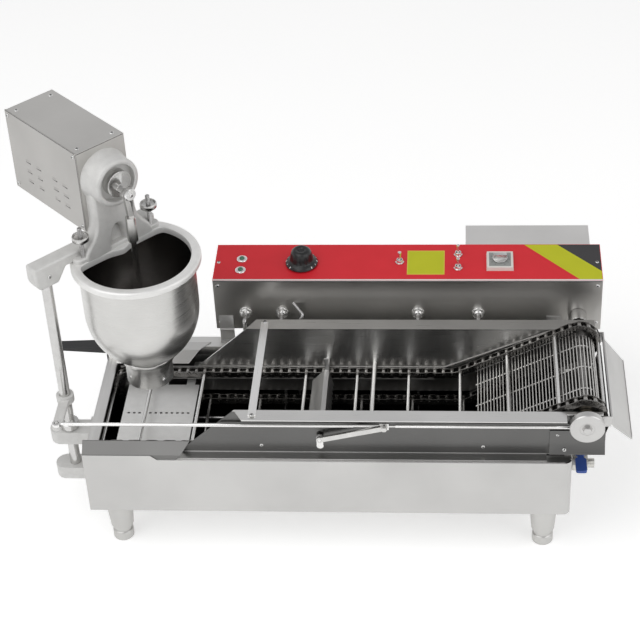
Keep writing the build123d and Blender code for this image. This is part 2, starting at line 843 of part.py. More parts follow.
def curl_arc(radius):
    """Points of a long wire's curl at this radius, two steps to each cross wire."""
    turns = [radians(90 + degrees(climb) - k * curl_step / 2) for k in range(2 * curl_count + 2)]
    return [(drive_x + radius * cos(t), drive_z + radius * sin(t)) for t in turns]


with BuildPart() as drain_grille:
    climb_spots = [on_climb(grille_start + k * wire_step, wire_lift) for k in range(wire_count)]
    with BuildSketch(side_plane(rail_rear_y)):
        with Locations(*climb_spots):
            RegularPolygon(wire_radius, 6, rotation=degrees(climb))
    extrude(amount=rail_rear_y - rail_front_y)
    curl_turns = [90 + degrees(climb) - k * curl_step for k in range(1, curl_count + 1)]
    with BuildSketch(side_plane(rail_rear_y - 8.0)):
        for turn in curl_turns:
            out = (cos(radians(turn)), sin(radians(turn)))
            with Locations((drive_x + curl_radius * out[0], drive_z + curl_radius * out[1])):
                RegularPolygon(wire_radius, 6, rotation=turn - 90)
    extrude(amount=rail_rear_y - rail_front_y - 16.0)
    long_backs = [mid_y + offset + long_wire / 2 for offset in (-60.0, 0.0, 60.0)]
    long_length = climb_run - grille_start + 6.0
    with BuildSketch(*[side_plane(y) for y in long_backs]):
        long_mid = on_climb(grille_start - 6.0 + long_length / 2, long_top - long_wire / 2)
        with Locations(Location(long_mid, degrees(climb))):
            Rectangle(long_length, long_wire)
        with BuildLine():
            Polyline(*curl_arc(long_outer), *reversed(curl_arc(long_outer - long_wire)), close=True)
        make_face()
    extrude(amount=long_wire)
drain_grille.part.label = "drain_grille"

# Chute: sloped discharge sheet hung on the channel ends.
plate_reach = hypot(plate_length / 2, wrap_radius * cos(pi / links_per_turn) + plate_height / 2)
chute_top_x = drive_x + plate_reach + 3.5
chute_top_z = drive_z - 7.0
chute_low_x = chute_top_x + 38.0
chute_lip = 8.0
chute_low_z = chute_top_z - 51.0
with BuildPart() as chute:
    with BuildSketch(side_plane(frame_rear_y + 2 * sheet)):
        with BuildLine():
            Polyline(
                (chute_top_x - 3.0, chute_top_z + 14.0),
                (chute_top_x, chute_top_z + 14.0),
                (chute_top_x, chute_top_z),
                (chute_low_x, chute_low_z),
                (chute_low_x + chute_lip, chute_low_z + 1.0),
                (chute_low_x + chute_lip, chute_low_z - 1.0),
                (chute_low_x - 1.0, chute_low_z - 2.4),
                (chute_top_x - 3.0, chute_top_z - 1.0),
                close=True,
            )
        make_face()
    extrude(amount=lane_width + 4 * sheet)
    for back_y in (web_front_y, frame_rear_y + 2 * sheet):
        with BuildSketch(side_plane(back_y)):
            with BuildLine():
                Polyline(
                    (channel_right_x - 12.0, chute_top_z - 8.0),
                    (chute_top_x - 2.0, chute_top_z - 8.0),
                    (chute_top_x - 2.0, chute_top_z + 14.0),
                    (channel_right_x - 12.0, chute_top_z + 14.0),
                    close=True,
                )
            make_face()
        extrude(amount=sheet)
    with BuildSketch(Plane.XY.offset(chute_low_z - 10.0)):
        with BuildLine():
            Polyline(
                (chute_top_x + 2.0, web_front_y - sheet - 1),
                (chute_low_x + 10.0, web_front_y - sheet - 1),
                (chute_low_x + 10.0, web_front_y + 24.0),
                close=True,
            )
        make_face()
    extrude(amount=90.0, mode=Mode.SUBTRACT)
chute.part.label = "chute"

# Drop plate: perforated landing plate between the chains under the hopper.
plate_z = chain_z - 20.0
plate_left_x = idler_x - 3.0
plate_right_x = channel_left_x + 12.0
with BuildPart() as drop_plate:
    with BuildSketch(Plane.XY.offset(plate_z - sheet)):
        with Locations(((plate_left_x + plate_right_x) / 2, mid_y)):
            Rectangle(plate_right_x - plate_left_x, rail_rear_y - rail_front_y - 8.0)
        for tab_x in (plate_left_x + 66.0, plate_right_x - 16.0):
            with Locations((tab_x, mid_y)):
                Rectangle(16.0, lane_width - 2 * sheet)
        with Locations(((plate_left_x + plate_right_x) / 2, mid_y + 10.0)):
            with GridLocations(10.0, 1.0, 12, 1):
                Rectangle(4.6, 4.6, mode=Mode.SUBTRACT)
    extrude(amount=sheet)
drop_plate.part.label = "drop_plate"

# Turner: shaft through both webs, roofed tray with a comb edge, crank and link.
arm_back_y = web_front_y - 4.0
arm_front_y = arm_back_y - link_thick
flipper_pin_z = flipper_z + flipper_throw
with BuildPart() as flipper_shaft:
    with BuildSketch(side_plane(frame_rear_y + sheet + 4.0)):
        with Locations((flipper_x, flipper_z)):
            bar(flipper_shaft_radius)
    extrude(amount=frame_rear_y + sheet + 4.0 - arm_back_y)
    with BuildSketch(side_plane(arm_back_y)):
        with Locations((flipper_x, flipper_z + flipper_throw / 2)):
            Rectangle(12.0, flipper_throw)
        with Locations((flipper_x, flipper_z), (flipper_x, flipper_pin_z)):
            bar(6.5)
    extrude(amount=link_thick)
    with BuildSketch(side_plane(arm_front_y)):
        with Locations((flipper_x, flipper_pin_z)):
            bar(link_pin_radius)
    extrude(amount=link_thick + 2 * gap)
flipper_shaft.part.label = "flipper_shaft"

with BuildPart() as flipper_tray:
    with BuildSketch(side_plane(mid_y + flipper_half)):
        with BuildLine():
            Polyline(
                (flipper_x - 28.0, flipper_z - 20.0),
                (flipper_x - 4.0, flipper_z + flipper_shaft_radius + sheet),
                (flipper_x + 4.0, flipper_z + flipper_shaft_radius + sheet),
                (flipper_x + 11.0, flipper_z - 30.0),
                (flipper_x + 9.0, flipper_z - 30.0),
                (flipper_x + 2.4, flipper_z + flipper_shaft_radius),
                (flipper_x - 3.0, flipper_z + flipper_shaft_radius),
                (flipper_x - 26.4, flipper_z - 21.2),
                close=True,
            )
        make_face()
    extrude(amount=2 * flipper_half)
    with BuildSketch(Plane.YZ.offset(flipper_x + 5.0)):
        with Locations((mid_y, flipper_z - 27.0)):
            with GridLocations(13.0, 1.0, 12, 1):
                Rectangle(6.0, 8.0)
    extrude(amount=12.0, mode=Mode.SUBTRACT)
    with BuildSketch(side_plane(mid_y + flipper_half)):
        with Locations((flipper_x, flipper_z + 18.0)):
            Rectangle(8.0, 28.0)
    extrude(amount=sheet)
    with BuildSketch(side_plane(mid_y + flipper_half)):
        with Locations((flipper_x, flipper_z)):
            bar(flipper_shaft_radius)
    extrude(amount=2 * flipper_half, mode=Mode.SUBTRACT)
flipper_tray.part.label = "flipper_tray"

link_back_y = arm_front_y - gap
link_top_x = flipper_x + link_reach_x
link_top_z = flipper_pin_z + link_rise
link_angle = degrees(atan2(link_rise, link_reach_x))
link_length = hypot(link_rise, link_reach_x)
with BuildPart() as flipper_link:
    with BuildSketch(link_plane(flipper_x, link_back_y, flipper_pin_z, link_angle)):
        with Locations((link_length / 2, 0)):
            Rectangle(link_length, link_width)
        with Locations((0, 0), (link_length, 0)):
            bar(link_width / 2 + 1.0)
        bore(link_pin_radius + run_fit)
    extrude(amount=link_thick)
    with BuildSketch(side_plane(link_back_y - link_thick)):
        with Locations((link_top_x, link_top_z)):
            RegularPolygon(5.0, 6)
    extrude(amount=3.5)
flipper_link.part.label = "flipper_link"

# Link rod: long round rod with an eye at the rocker, an eye at the crank and a clamp block.
clamp_front_y = link_back_y + gap
with BuildPart() as link_rod:
    with BuildSketch(Plane.YZ.offset(column_x)):
        with Locations((rod_y, rod_z)):
            bar(rod_radius, 8)
    extrude(amount=drive_x - column_x)
    with BuildSketch(Plane.XY.offset(rod_z - eye_thick / 2)):
        with Locations((column_x, rod_y)):
            bar(eye_radius, 16)
    extrude(amount=eye_thick)
    with BuildSketch(Plane.XY.offset(rod_z - eye_thick)):
        with Locations((column_x, rod_y)):
            RegularPolygon(rocker_pin_radius + rocker_play, 12, major_radius=False)
    extrude(amount=2 * eye_thick, mode=Mode.SUBTRACT)
    with BuildSketch(side_plane(rod_y + eye_thick / 2)):
        with Locations((drive_x, rod_z)):
            bar(eye_radius - 1.0, 16)
    extrude(amount=eye_thick)
    with BuildSketch(side_plane(rod_y + eye_thick)):
        with Locations((drive_x, rod_z)):
            RegularPolygon(crank_pin_radius + run_fit, 12, major_radius=False)
    extrude(amount=2 * eye_thick, mode=Mode.SUBTRACT)
    with BuildSketch(side_plane(rod_y + 4.0)):
        with Locations((link_top_x, rod_z)):
            Rectangle(16.0, 14.0)
    extrude(amount=rod_y + 4.0 - clamp_front_y)
link_rod.part.label = "link_rod"

# Column, thrust collar and rocker arm.
collar_z = leg_height + upper_ear_rise + ear_height + gap
arm_bottom_z = ring_bottom + ring_thick
arm_top_z = arm_bottom_z + arm_thick
column_top_z = arm_top_z - 8.0
rocker_thick = 6.0
rocker_z = rod_z - eye_thick / 2 - gap - rocker_thick
with BuildPart() as column:
    with BuildSketch(Plane.XY.offset(leg_height + lower_ear_rise)):
        with Locations((column_x, column_y)):
            bar(column_radius, column_sides)
    extrude(amount=column_top_z - leg_height - lower_ear_rise)
    with BuildSketch(Plane.XY.offset(collar_z)):
        with Locations((column_x, column_y)):
            bar(column_radius + 7.0, column_sides)
    extrude(amount=14.0)
column.part.label = "column"

rocker_length = column_y - rod_y
with BuildPart() as rocker_arm:
    with BuildSketch(Plane.XY.offset(rocker_z)):
        with Locations((column_x, column_y - rocker_length / 2)):
            Rectangle(18.0, rocker_length)
        with Locations((column_x, rod_y)):
            RegularPolygon(9.0, 16, rotation=11.25, major_radius=False)
    extrude(amount=rocker_thick)
    with BuildSketch(Plane.XY.offset(rocker_z - 5.0)):
        with Locations((column_x, column_y)):
            bar(column_radius + 6.0, column_sides)
    extrude(amount=rocker_thick + 10.0)
    with BuildSketch(Plane.XY.offset(rocker_z - 6.0)):
        with Locations((column_x, column_y)):
            bar(column_radius, column_sides)
    extrude(amount=rocker_thick + 12.0, mode=Mode.SUBTRACT)
    with BuildSketch(Plane.XY.offset(rocker_z + rocker_thick)):
        with Locations((column_x, rod_y)):
            bar(rocker_pin_radius)
    extrude(amount=eye_thick + 2 * gap + 1.0)
rocker_arm.part.label = "rocker_arm"

# Depositor head, drawn in its own turned axes: u towards the front right, v towards the rear right.
u_dir = Vector(cos(radians(-head_turn)), sin(radians(-head_turn)), 0)
v_dir = Vector(-u_dir.Y, u_dir.X, 0)
hopper_axis = Vector(hopper_x, hopper_y, 0)
to_column = Vector(column_x, column_y, 0) - hopper_axis
column_u = to_column.dot(u_dir)
column_v = to_column.dot(v_dir)


def head_level(z):
    """Level plane at height z, drawn in u and v about the hopper's axis."""
    return Plane(origin=hopper_axis + Vector(0, 0, z), x_dir=u_dir, z_dir=(0, 0, 1))


def head_front_plane(u):
    """Upright plane at u, drawn in v and z and facing along u."""
    return Plane(origin=hopper_axis + u_dir * u, x_dir=v_dir, z_dir=u_dir)


arm_u = column_u
arm_v_far = stud_v + 16.0
with BuildPart() as support_arm:
    with BuildSketch(head_front_plane(arm_u - arm_width / 2)):
        with BuildLine():
            Polyline(
                (column_v - 27.0, arm_top_z),
                (arm_v_far, arm_top_z),
                (arm_v_far, arm_bottom_z),
                (-ring_outer + 10.0, arm_bottom_z),
                (column_v + 18.0, arm_top_z - arm_deep),
                (column_v - 20.0, arm_top_z - arm_deep),
                (column_v - 27.0, arm_top_z - arm_deep + 14.0),
                close=True,
            )
        make_face()
    extrude(amount=arm_width)
    with BuildSketch(Plane.XY.offset(arm_top_z - arm_deep - 1)):
        with Locations((column_x, column_y)):
            bar(column_radius, column_sides)
    extrude(amount=column_top_z - arm_top_z + arm_deep + 1, mode=Mode.SUBTRACT)
support_arm.part.label = "support_arm"

with BuildPart() as hopper_ring:
    with BuildSketch(head_level(ring_bottom)):
        bar(ring_outer, hopper_sides)
        with BuildSketch(head_level(ring_bottom), mode=Mode.SUBTRACT):
            bar(ring_inner, hopper_sides)
            with Locations((chord_u - ring_outer, 0)):
                Rectangle(2 * ring_outer, 3 * ring_outer, mode=Mode.SUBTRACT)
    extrude(amount=ring_thick)
    chamfer(hopper_ring.faces().sort_by(Axis.Z)[-1].outer_wire().edges(), 3.0)
    with BuildSketch(head_level(ring_bottom + ring_thick)):
        with Locations((stud_u, -stud_v), (stud_u, stud_v)):
            bar(stud_radius)
    extrude(amount=stud_height)
hopper_ring.part.label = "hopper_ring"

# Bowl: the wall's section, straight and then rounding in to the neck, carried round a many-sided rim.
bowl_top_z = ring_bottom
bowl_turn_z = bowl_top_z - bowl_straight
bowl_low_z = bowl_top_z - bowl_depth
round_in = bowl_radius - bowl_mouth_radius
round_down = bowl_turn_z - bowl_low_z
round_radius = (round_in**2 + round_down**2) / (2 * round_in)
round_turn = asin(round_down / round_radius)
bowl_bands = 5


def bowl_wall(inset):
    """Points down the wall, inset from its outside, from the rim to the neck."""
    points = [(bowl_radius - inset, bowl_top_z)]
    for k in range(bowl_bands + 1):
        turn = round_turn * k / bowl_bands
        in_by = round_radius * (1 - cos(turn))
        points.append((bowl_radius - in_by - inset, bowl_turn_z - round_radius * sin(turn)))
    return points


with BuildPart() as hopper_bowl:
    with BuildLine() as rim:
        rim_apex = bowl_radius / cos(pi / hopper_sides)
        rim_plane = Plane(origin=hopper_axis + Vector(0, 0, bowl_top_z))
        rim_points = [Vector(bowl_radius, 0, 0)]
        for k in range(hopper_sides):
            turn = pi / hopper_sides * (2 * k + 1)
            rim_points.append(Vector(rim_apex * cos(turn), rim_apex * sin(turn), 0))
        rim_points.append(Vector(bowl_radius, 0, 0))
        Polyline(*[rim_plane.from_local_coords(p) for p in rim_points])
    with BuildSketch(Plane(origin=hopper_axis, x_dir=(1, 0, 0), z_dir=(0, -1, 0))):
        with BuildLine():
            Polyline(*bowl_wall(0), *reversed(bowl_wall(thin_sheet)), close=True)
        make_face()
    sweep(path=rim.line, transition=Transition.RIGHT)
hopper_bowl.part.label = "hopper_bowl"

neck_bottom_z = bowl_low_z - neck_length
neck_bore = neck_radius - neck_wall
neck_sides = 28
with BuildPart() as hopper_neck:
    with BuildSketch(head_level(neck_bottom_z)):
        bar(neck_radius, neck_sides)
    extrude(amount=neck_length)
    with BuildSketch(head_level(bowl_low_z - 10.0)):
        bar(neck_radius + 5.0, neck_sides)
    extrude(amount=10.0)
    with BuildSketch(head_level(neck_bottom_z)):
        bar(neck_bore, neck_sides)
    extrude(amount=neck_length, mode=Mode.SUBTRACT)
hopper_neck.part.label = "hopper_neck"

# Head casting: round boss on a flared pillar with an arched window, recessed for the crank.
hub_disc_radius = 24.0
recess_depth = 13.0
with BuildPart() as head_casting:
    with BuildSketch(head_front_plane(head_back)):
        with Locations((0, crank_axis_z)):
            bar(boss_radius, 28)
    extrude(amount=head_front - head_back)
    with BuildSketch(head_front_plane(head_back)):
        with BuildLine():
            Polyline(
                (-38.0, crank_axis_z - 10.0),
                (38.0, crank_axis_z - 10.0),
                (34.0, crank_axis_z - 60.0),
                (52.0, arm_top_z + 12.0),
                (52.0, arm_top_z),
                (-52.0, arm_top_z),
                (-52.0, arm_top_z + 12.0),
                (-34.0, crank_axis_z - 60.0),
                close=True,
            )
        make_face()
    extrude(amount=30.0)
    with BuildSketch(head_level(arm_top_z)):
        with Locations(((arm_u - arm_width / 2 + head_back + 30.0) / 2, 0)):
            Rectangle(head_back + 30.0 - arm_u + arm_width / 2, 104.0)
    extrude(amount=12.0)
    with BuildSketch(head_front_plane(head_back - 40.0)):
        with Locations((0, arm_top_z + 20.0)):
            Rectangle(36.0, 18.0)
    extrude(amount=80.0, mode=Mode.SUBTRACT)
    with BuildSketch(head_front_plane(head_front)):
        with Locations((0, crank_axis_z)):
            bar(hub_disc_radius + 8.0, 20)
    extrude(amount=-recess_depth, mode=Mode.SUBTRACT)
    with BuildSketch(head_front_plane(head_front)):
        with Locations((0, crank_axis_z)):
            RegularPolygon(journal_radius * 2 + run_fit, 16, major_radius=False)
    extrude(amount=head_back - head_front, mode=Mode.SUBTRACT)
head_casting.part.label = "head_casting"

# Crank hub: disc in the recess with its journal behind and an offset pin in front.
crank_rest_z = crank_axis_z - plunger_throw
with BuildPart() as crank_hub:
    with BuildSketch(head_front_plane(head_front - recess_depth + gap)):
        with Locations((0, crank_axis_z)):
            bar(hub_disc_radius, 20)
    extrude(amount=recess_depth + 4.0)
    with BuildSketch(head_front_plane(head_back + 2.0)):
        with Locations((0, crank_axis_z)):
            bar(journal_radius * 2, 16)
    extrude(amount=head_front - recess_depth + gap - head_back - 2.0)
    with BuildSketch(head_front_plane(head_front + 4.0)):
        with Locations((0, crank_rest_z)):
            bar(7.0)
    extrude(amount=17.0)
crank_hub.part.label = "crank_hub"

# Plunger: link eye with its cap, tongue, sleeve, rod and piston on the hopper's axis.
piston_radius = neck_bore - gap
with BuildPart() as plunger:
    with BuildSketch(head_front_plane(head_front + 21.0 + gap)):
        with Locations((0, crank_rest_z)):
            bar(12.0, 16)
        with Locations((0, crank_rest_z - 26.0)):
            Trapezoid(18.0, 52.0, 85.0, rotation=180)
    extrude(amount=7.0)
    with BuildSketch(head_front_plane(head_front + 28.0 + gap)):
        with Locations((0, crank_rest_z)):
            bar(10.0, 16)
    extrude(amount=3.0)
    with BuildSketch(head_level(crank_rest_z - 96.0)):
        bar(9.0)
    extrude(amount=48.0)
    with BuildSketch(head_level(neck_bottom_z + 20.0)):
        bar(5.0)
    extrude(amount=crank_rest_z - 96.0 - neck_bottom_z - 20.0)
    with BuildSketch(head_level(neck_bottom_z + 2.0)):
        bar(piston_radius, neck_sides)
    extrude(amount=16.0)
    with BuildSketch(head_level(neck_bottom_z + 18.0)):
        bar(12.0)
    extrude(amount=8.0)
plunger.part.label = "plunger"

# Motor box: folded sheet box behind the head, with a screwed-on vented side panel.
motor_box_back = head_back - motor_box_length
motor_mid_u = (head_back + motor_box_back) / 2
motor_top_z = motor_box_bottom + motor_box_height
with BuildPart() as motor_box:
    with BuildSketch(head_level(motor_box_bottom)):
        with Locations((motor_mid_u, sheet / 2)):
            Rectangle(motor_box_length, 2 * motor_box_half - sheet)
    extrude(amount=motor_box_height)
    with BuildSketch(head_level(motor_box_bottom + sheet)):
        with Locations((motor_mid_u, -sheet / 2)):
            Rectangle(motor_box_length - 2 * sheet, 2 * motor_box_half - sheet)
    extrude(amount=motor_box_height - 2 * sheet, mode=Mode.SUBTRACT)
    with BuildSketch(head_front_plane(head_back - 5.0)):
        with Locations((0, crank_axis_z)):
            bar(20.0)
    extrude(amount=10.0, mode=Mode.SUBTRACT)
motor_box.part.label = "motor_box"

panel_back_plane = Plane(origin=hopper_axis - v_dir * (motor_box_half - sheet), x_dir=u_dir, z_dir=-v_dir)
with BuildPart() as motor_side_panel:
    with BuildSketch(panel_back_plane):
        with Locations((motor_mid_u, motor_box_bottom + motor_box_height / 2)):
            Rectangle(motor_box_length, motor_box_height)
        for column_step in (-53.0, -21.0, 28.0, 58.0):
            with Locations((motor_mid_u + column_step, motor_box_bottom + 51.0)):
                with GridLocations(1.0, 20.0, 1, 3):
                    Rectangle(14.0, 3.6, mode=Mode.SUBTRACT)
    extrude(amount=sheet)
motor_side_panel.part.label = "motor_side_panel"

with BuildPart() as head_motor:
    with BuildSketch(head_front_plane(head_back)):
        with Locations((0, crank_axis_z)):
            bar(19.0)
    extrude(amount=-30.0)
    with BuildSketch(head_front_plane(head_back - 30.0)):
        with Locations((0, crank_axis_z)):
            Rectangle(70.0, 70.0)
    extrude(amount=-50.0)
    with BuildSketch(head_front_plane(head_back - 80.0)):
        with Locations((0, crank_axis_z)):
            bar(34.0, 16)
    extrude(amount=-(motor_box_length - 80.0 - sheet))
head_motor.part.label = "head_motor"

# Cupped thumb nuts on the studs of the hopper ring.
nut_z = arm_top_z + 18.0


def make_nut(v, label):
    """Cupped thumb nut on a stud at v."""
    with BuildPart() as nut:
        with BuildSketch(head_level(nut_z)):
            with Locations((stud_u, v)):
                RegularPolygon(9.0, 12)
        extrude(amount=4.0)
        with BuildSketch(head_level(nut_z + 4.0)):
            with Locations((stud_u, v)):
                RegularPolygon(15.0, 14)
        extrude(amount=10.0)
        with BuildSketch(head_level(nut_z + 9.0)):
            with Locations((stud_u, v)):
                RegularPolygon(12.0, 12)
        extrude(amount=6.0, mode=Mode.SUBTRACT)
        with BuildSketch(head_level(nut_z - 1)):
            with Locations((stud_u, v)):
                RegularPolygon(stud_radius + run_fit, 12, major_radius=False)
        extrude(amount=20.0, mode=Mode.SUBTRACT)
    nut.part.label = label
    return nut


thumb_nut_left = make_nut(-stud_v, "thumb_nut_left")
thumb_nut_right = make_nut(stud_v, "thumb_nut_right")

# Control box: folded sheet body with a sloped top panel.
box_length = box_right_x - box_left_x
box_mid_x = (box_left_x + box_right_x) / 2
panel_slope = atan2(panel_rise, box_depth)
with BuildPart() as control_box:
    with BuildSketch(Plane.YZ.offset(box_left_x)):
        with BuildLine():
            Polyline(
                (box_front_y, box_bottom_z),
                (box_rear_y, box_bottom_z),
                (box_rear_y, box_top_z + panel_rise),
                (box_front_y, box_top_z),
                close=True,
            )
        make_face()
    extrude(amount=box_length)
    with BuildSketch(Plane.XY.offset(box_bottom_z + thin_sheet)):
        with Locations((box_mid_x, (box_front_y + box_rear_y) / 2)):
            Rectangle(box_length - 2 * thin_sheet, box_depth - 2 * thin_sheet)
    extrude(amount=box_height + 2 * panel_rise, mode=Mode.SUBTRACT)
    with BuildSketch(side_plane(box_front_y + 10.0)):
        with Locations((drive_x, drive_z)):
            RegularPolygon(shaft_radius + run_fit, 16, major_radius=False)
    extrude(amount=20.0, mode=Mode.SUBTRACT)
control_box.part.label = "control_box"

panel_plane = Plane(
    origin=(0, box_front_y, box_top_z), x_dir=(1, 0, 0), z_dir=(0, -sin(panel_slope), cos(panel_slope))
)
panel_top = panel_plane.offset(thin_sheet)
panel_length = box_depth / cos(panel_slope)
with BuildPart() as control_panel:
    with BuildSketch(panel_plane):
        with Locations((box_mid_x, panel_length / 2)):
            Rectangle(box_length, panel_length)
    extrude(amount=thin_sheet)
control_panel.part.label = "control_panel"

with BuildPart() as motor_housing:
    housing_left_x = left_x + housing_left_inset
    housing_right_x = right_x + housing_right_past
    housing_mid_x = (housing_left_x + housing_right_x) / 2
    housing_height = box_height + panel_rise
    with BuildSketch(Plane.XY.offset(box_bottom_z)):
        with Locations((housing_mid_x, box_rear_y + housing_depth / 2)):
            Rectangle(housing_right_x - housing_left_x, housing_depth)
    extrude(amount=housing_height)
    with BuildSketch(Plane.XY.offset(box_bottom_z + thin_sheet)):
        with Locations((housing_mid_x, box_rear_y + (housing_depth - thin_sheet) / 2)):
            Rectangle(housing_right_x - housing_left_x - 2 * thin_sheet, housing_depth - thin_sheet)
    extrude(amount=housing_height - 2 * thin_sheet, mode=Mode.SUBTRACT)
    chamfer(motor_housing.edges().filter_by(Axis.X).group_by(Axis.Y)[-1].sort_by(Axis.Z)[-1], 1.0)
motor_housing.part.label = "motor_housing"

# Hinges between the ledge and the front of the box, and struts under its overhang.
with BuildPart() as box_mounts:
    for hinge_x in (box_left_x + 20.0, right_x - 22.0):
        with BuildSketch(Plane.YZ.offset(hinge_x - 13.5)):
            with BuildLine():
                Polyline(
                    (box_front_y, box_bottom_z + 31.0),
                    (box_front_y, ledge_z),
                    (box_front_y - 9.0, ledge_z),
                    (box_front_y - 9.0, ledge_z + sheet),
                    (box_front_y - sheet, ledge_z + sheet),
                    (box_front_y - sheet, box_bottom_z + 31.0),
                    close=True,
                )
            make_face()
        extrude(amount=27.0)
        with BuildSketch(Plane.YZ.offset(hinge_x - 13.5)):
            with Locations((box_front_y - 2.5, box_bottom_z)):
                bar(2.5, 8)
        extrude(amount=27.0)
    for strut_x in (box_left_x + 60.0, right_x - 80.0):
        with BuildSketch(Plane.YZ.offset(strut_x)):
            with BuildLine():
                Polyline(
                    (tank_depth, leg_height + 30.0),
                    (tank_depth, box_bottom_z),
                    (box_rear_y - 8.0, box_bottom_z),
                    (box_rear_y - 8.0, box_bottom_z - 8.0),
                    (tank_depth + 10.0, leg_height + 30.0),
                    close=True,
                )
            make_face()
        extrude(amount=3.0)
        with BuildSketch(Plane.YZ.offset(strut_x - 12.0)):
            with Locations((tank_depth + 1.0, leg_height + tank_height / 2)):
                Rectangle(2.0, 70.0)
            with Locations((box_rear_y - 40.0, box_bottom_z - 1.0)):
                Rectangle(64.0, 2.0)
        extrude(amount=27.0)
box_mounts.part.label = "box_mounts"

# Heating elements: two bent tubes that leave the box, drop behind the conveyor and loop over the floor.
heater_radius = 4.0
gland_length = 11.0
heater_y = basin_rear_y - 7.0
heater_z = basin_floor_z + 16.0
gland_z = box_bottom_z + 39.0
gland_x = (left_x + 267.0, left_x + 335.0, left_x + 588.0, left_x + 699.0)
loop_near_y = rail_front_y + 24.0
loop_far_y = rail_rear_y - 8.0


def heater_path(points):
    """Tube route from gland to gland through the level points of its loop."""
    first = points[0]
    last = points[-1]
    start_y = box_front_y - gland_length
    head = [(first[0], start_y, gland_z), (first[0], heater_y, gland_z), (first[0], heater_y, heater_z)]
    tail = [(last[0], heater_y, heater_z), (last[0], heater_y, gland_z), (last[0], start_y, gland_z)]
    return head + [(x, y, heater_z) for x, y in points] + tail


def eased(points, ease):
    """Route with each corner replaced by two points, ease from it on either side."""
    route = [Vector(*points[0])]
    for before, corner, after in zip(points, points[1:], points[2:]):
        here = Vector(*corner)
        route.append(here + (Vector(*before) - here).normalized() * ease)
        route.append(here + (Vector(*after) - here).normalized() * ease)
    route.append(Vector(*points[-1]))
    return route


left_loop = [
    (gland_x[0], loop_far_y),
    (basin_left_x + 30.0, loop_far_y),
    (basin_left_x + 30.0, loop_near_y),
    (gland_x[1], loop_near_y),
]
right_loop = [
    (gland_x[2], loop_far_y),
    (gland_x[1] + 60.0, loop_far_y),
    (gland_x[1] + 60.0, loop_near_y),
    (basin_right_x - 40.0, loop_near_y),
    (basin_right_x - 40.0, loop_far_y),
    (gland_x[3], loop_far_y),
]


probe_x = left_x + 379.0
probe_radius = 2.5
probe_route = [
    (probe_x, box_front_y, gland_z - 4.0),
    (probe_x, box_front_y - 14.0, gland_z - 4.0),
    (probe_x - 17.0, heater_y, gland_z - 24.0),
    (probe_x - 17.0, heater_y, basin_floor_z + 30.0),
]
tubes = [
    (heater_path(left_loop), heater_radius, 12.0),
    (heater_path(right_loop), heater_radius, 12.0),
    (probe_route, probe_radius, 5.0),
]
with BuildPart() as immersion_tubes:
    for route, radius, ease in tubes:
        with BuildLine() as centre_line:
            Polyline(*eased(route, ease))
        with BuildSketch(Plane(origin=route[0], x_dir=(1, 0, 0), z_dir=(0, -1, 0))):
            RegularPolygon(radius, 6)
        sweep(path=centre_line.line, transition=Transition.RIGHT)
immersion_tubes.part.label = "immersion_tubes"

with BuildPart() as heater_glands:
    gland_spots = [(x, gland_z) for x in gland_x]
    with BuildSketch(side_plane(box_front_y)):
        with Locations(*gland_spots):
            RegularPolygon(11.0, 6)
    extrude(amount=gland_length / 2)
    with BuildSketch(side_plane(box_front_y - gland_length / 2)):
        with Locations(*gland_spots):
            RegularPolygon(8.0, 8)
    extrude(amount=gland_length / 2)
heater_glands.part.label = "heater_glands"

# Indicator lamps: bright bezels with domed green lenses.
lamp_spots = [(left_x + 259.0, 62.0), (left_x + 259.0, 29.0)]
with BuildPart() as indicator_lamps:
    with BuildSketch(panel_top):
        with Locations(*lamp_spots):
            RegularPolygon(8.0, 12)
    extrude(amount=3.0)
    with BuildSketch(panel_top.offset(3.0)):
        with Locations(*lamp_spots):
            RegularPolygon(5.5, 8)
    extrude(amount=4.0, taper=15)
indicator_lamps.part.label = "indicator_lamps"

# Thermostat knob: numbered skirt and ribbed grip on a panel bush.
knob_spot = (left_x + 372.0, 50.0)
knob_skirt_radius = 30.0
knob_grip_radius = 18.5
knob_grip_height = 27.0
with BuildPart() as thermostat_knob:
    with BuildSketch(panel_top.offset(2.0 + gap)):
        with Locations(knob_spot):
            RegularPolygon(knob_skirt_radius, 20)
    extrude(amount=6.0, taper=25)
    with BuildSketch(panel_top.offset(8.0 + gap)):
        with Locations(knob_spot):
            RegularPolygon(knob_grip_radius, 12)
    extrude(amount=knob_grip_height, taper=4)
    with BuildSketch(panel_top.offset(2.0)):
        with Locations(knob_spot):
            RegularPolygon(3.0 + run_fit, 8, major_radius=False)
    extrude(amount=10.0, mode=Mode.SUBTRACT)
thermostat_knob.part.label = "thermostat_knob"

# Timer: square plate with a small pointer knob.
timer_spot = (left_x + 739.0, 52.0)
timer_side = 50.0
timer_height = 8.0
with BuildPart() as timer_body:
    with BuildSketch(panel_top):
        with Locations(timer_spot):
            Rectangle(timer_side, timer_side)
    extrude(amount=timer_height, taper=8)
    with BuildSketch(panel_top.offset(timer_height)):
        with Locations(timer_spot):
            bar(3.0, 8)
    extrude(amount=8.0)
timer_body.part.label = "timer_body"

with BuildPart() as timer_knob:
    with BuildSketch(panel_top.offset(timer_height + gap)):
        with Locations(timer_spot):
            RegularPolygon(14.0, 16)
    extrude(amount=4.0)
    with BuildSketch(panel_top.offset(timer_height + gap + 4.0)):
        with Locations(timer_spot):
            Rectangle(24.0, 8.0)
    extrude(amount=9.0)
    with BuildSketch(panel_top.offset(timer_height)):
        with Locations(timer_spot):
            RegularPolygon(3.0 + run_fit, 8, major_radius=False)
    extrude(amount=9.0, mode=Mode.SUBTRACT)
timer_knob.part.label = "timer_knob"

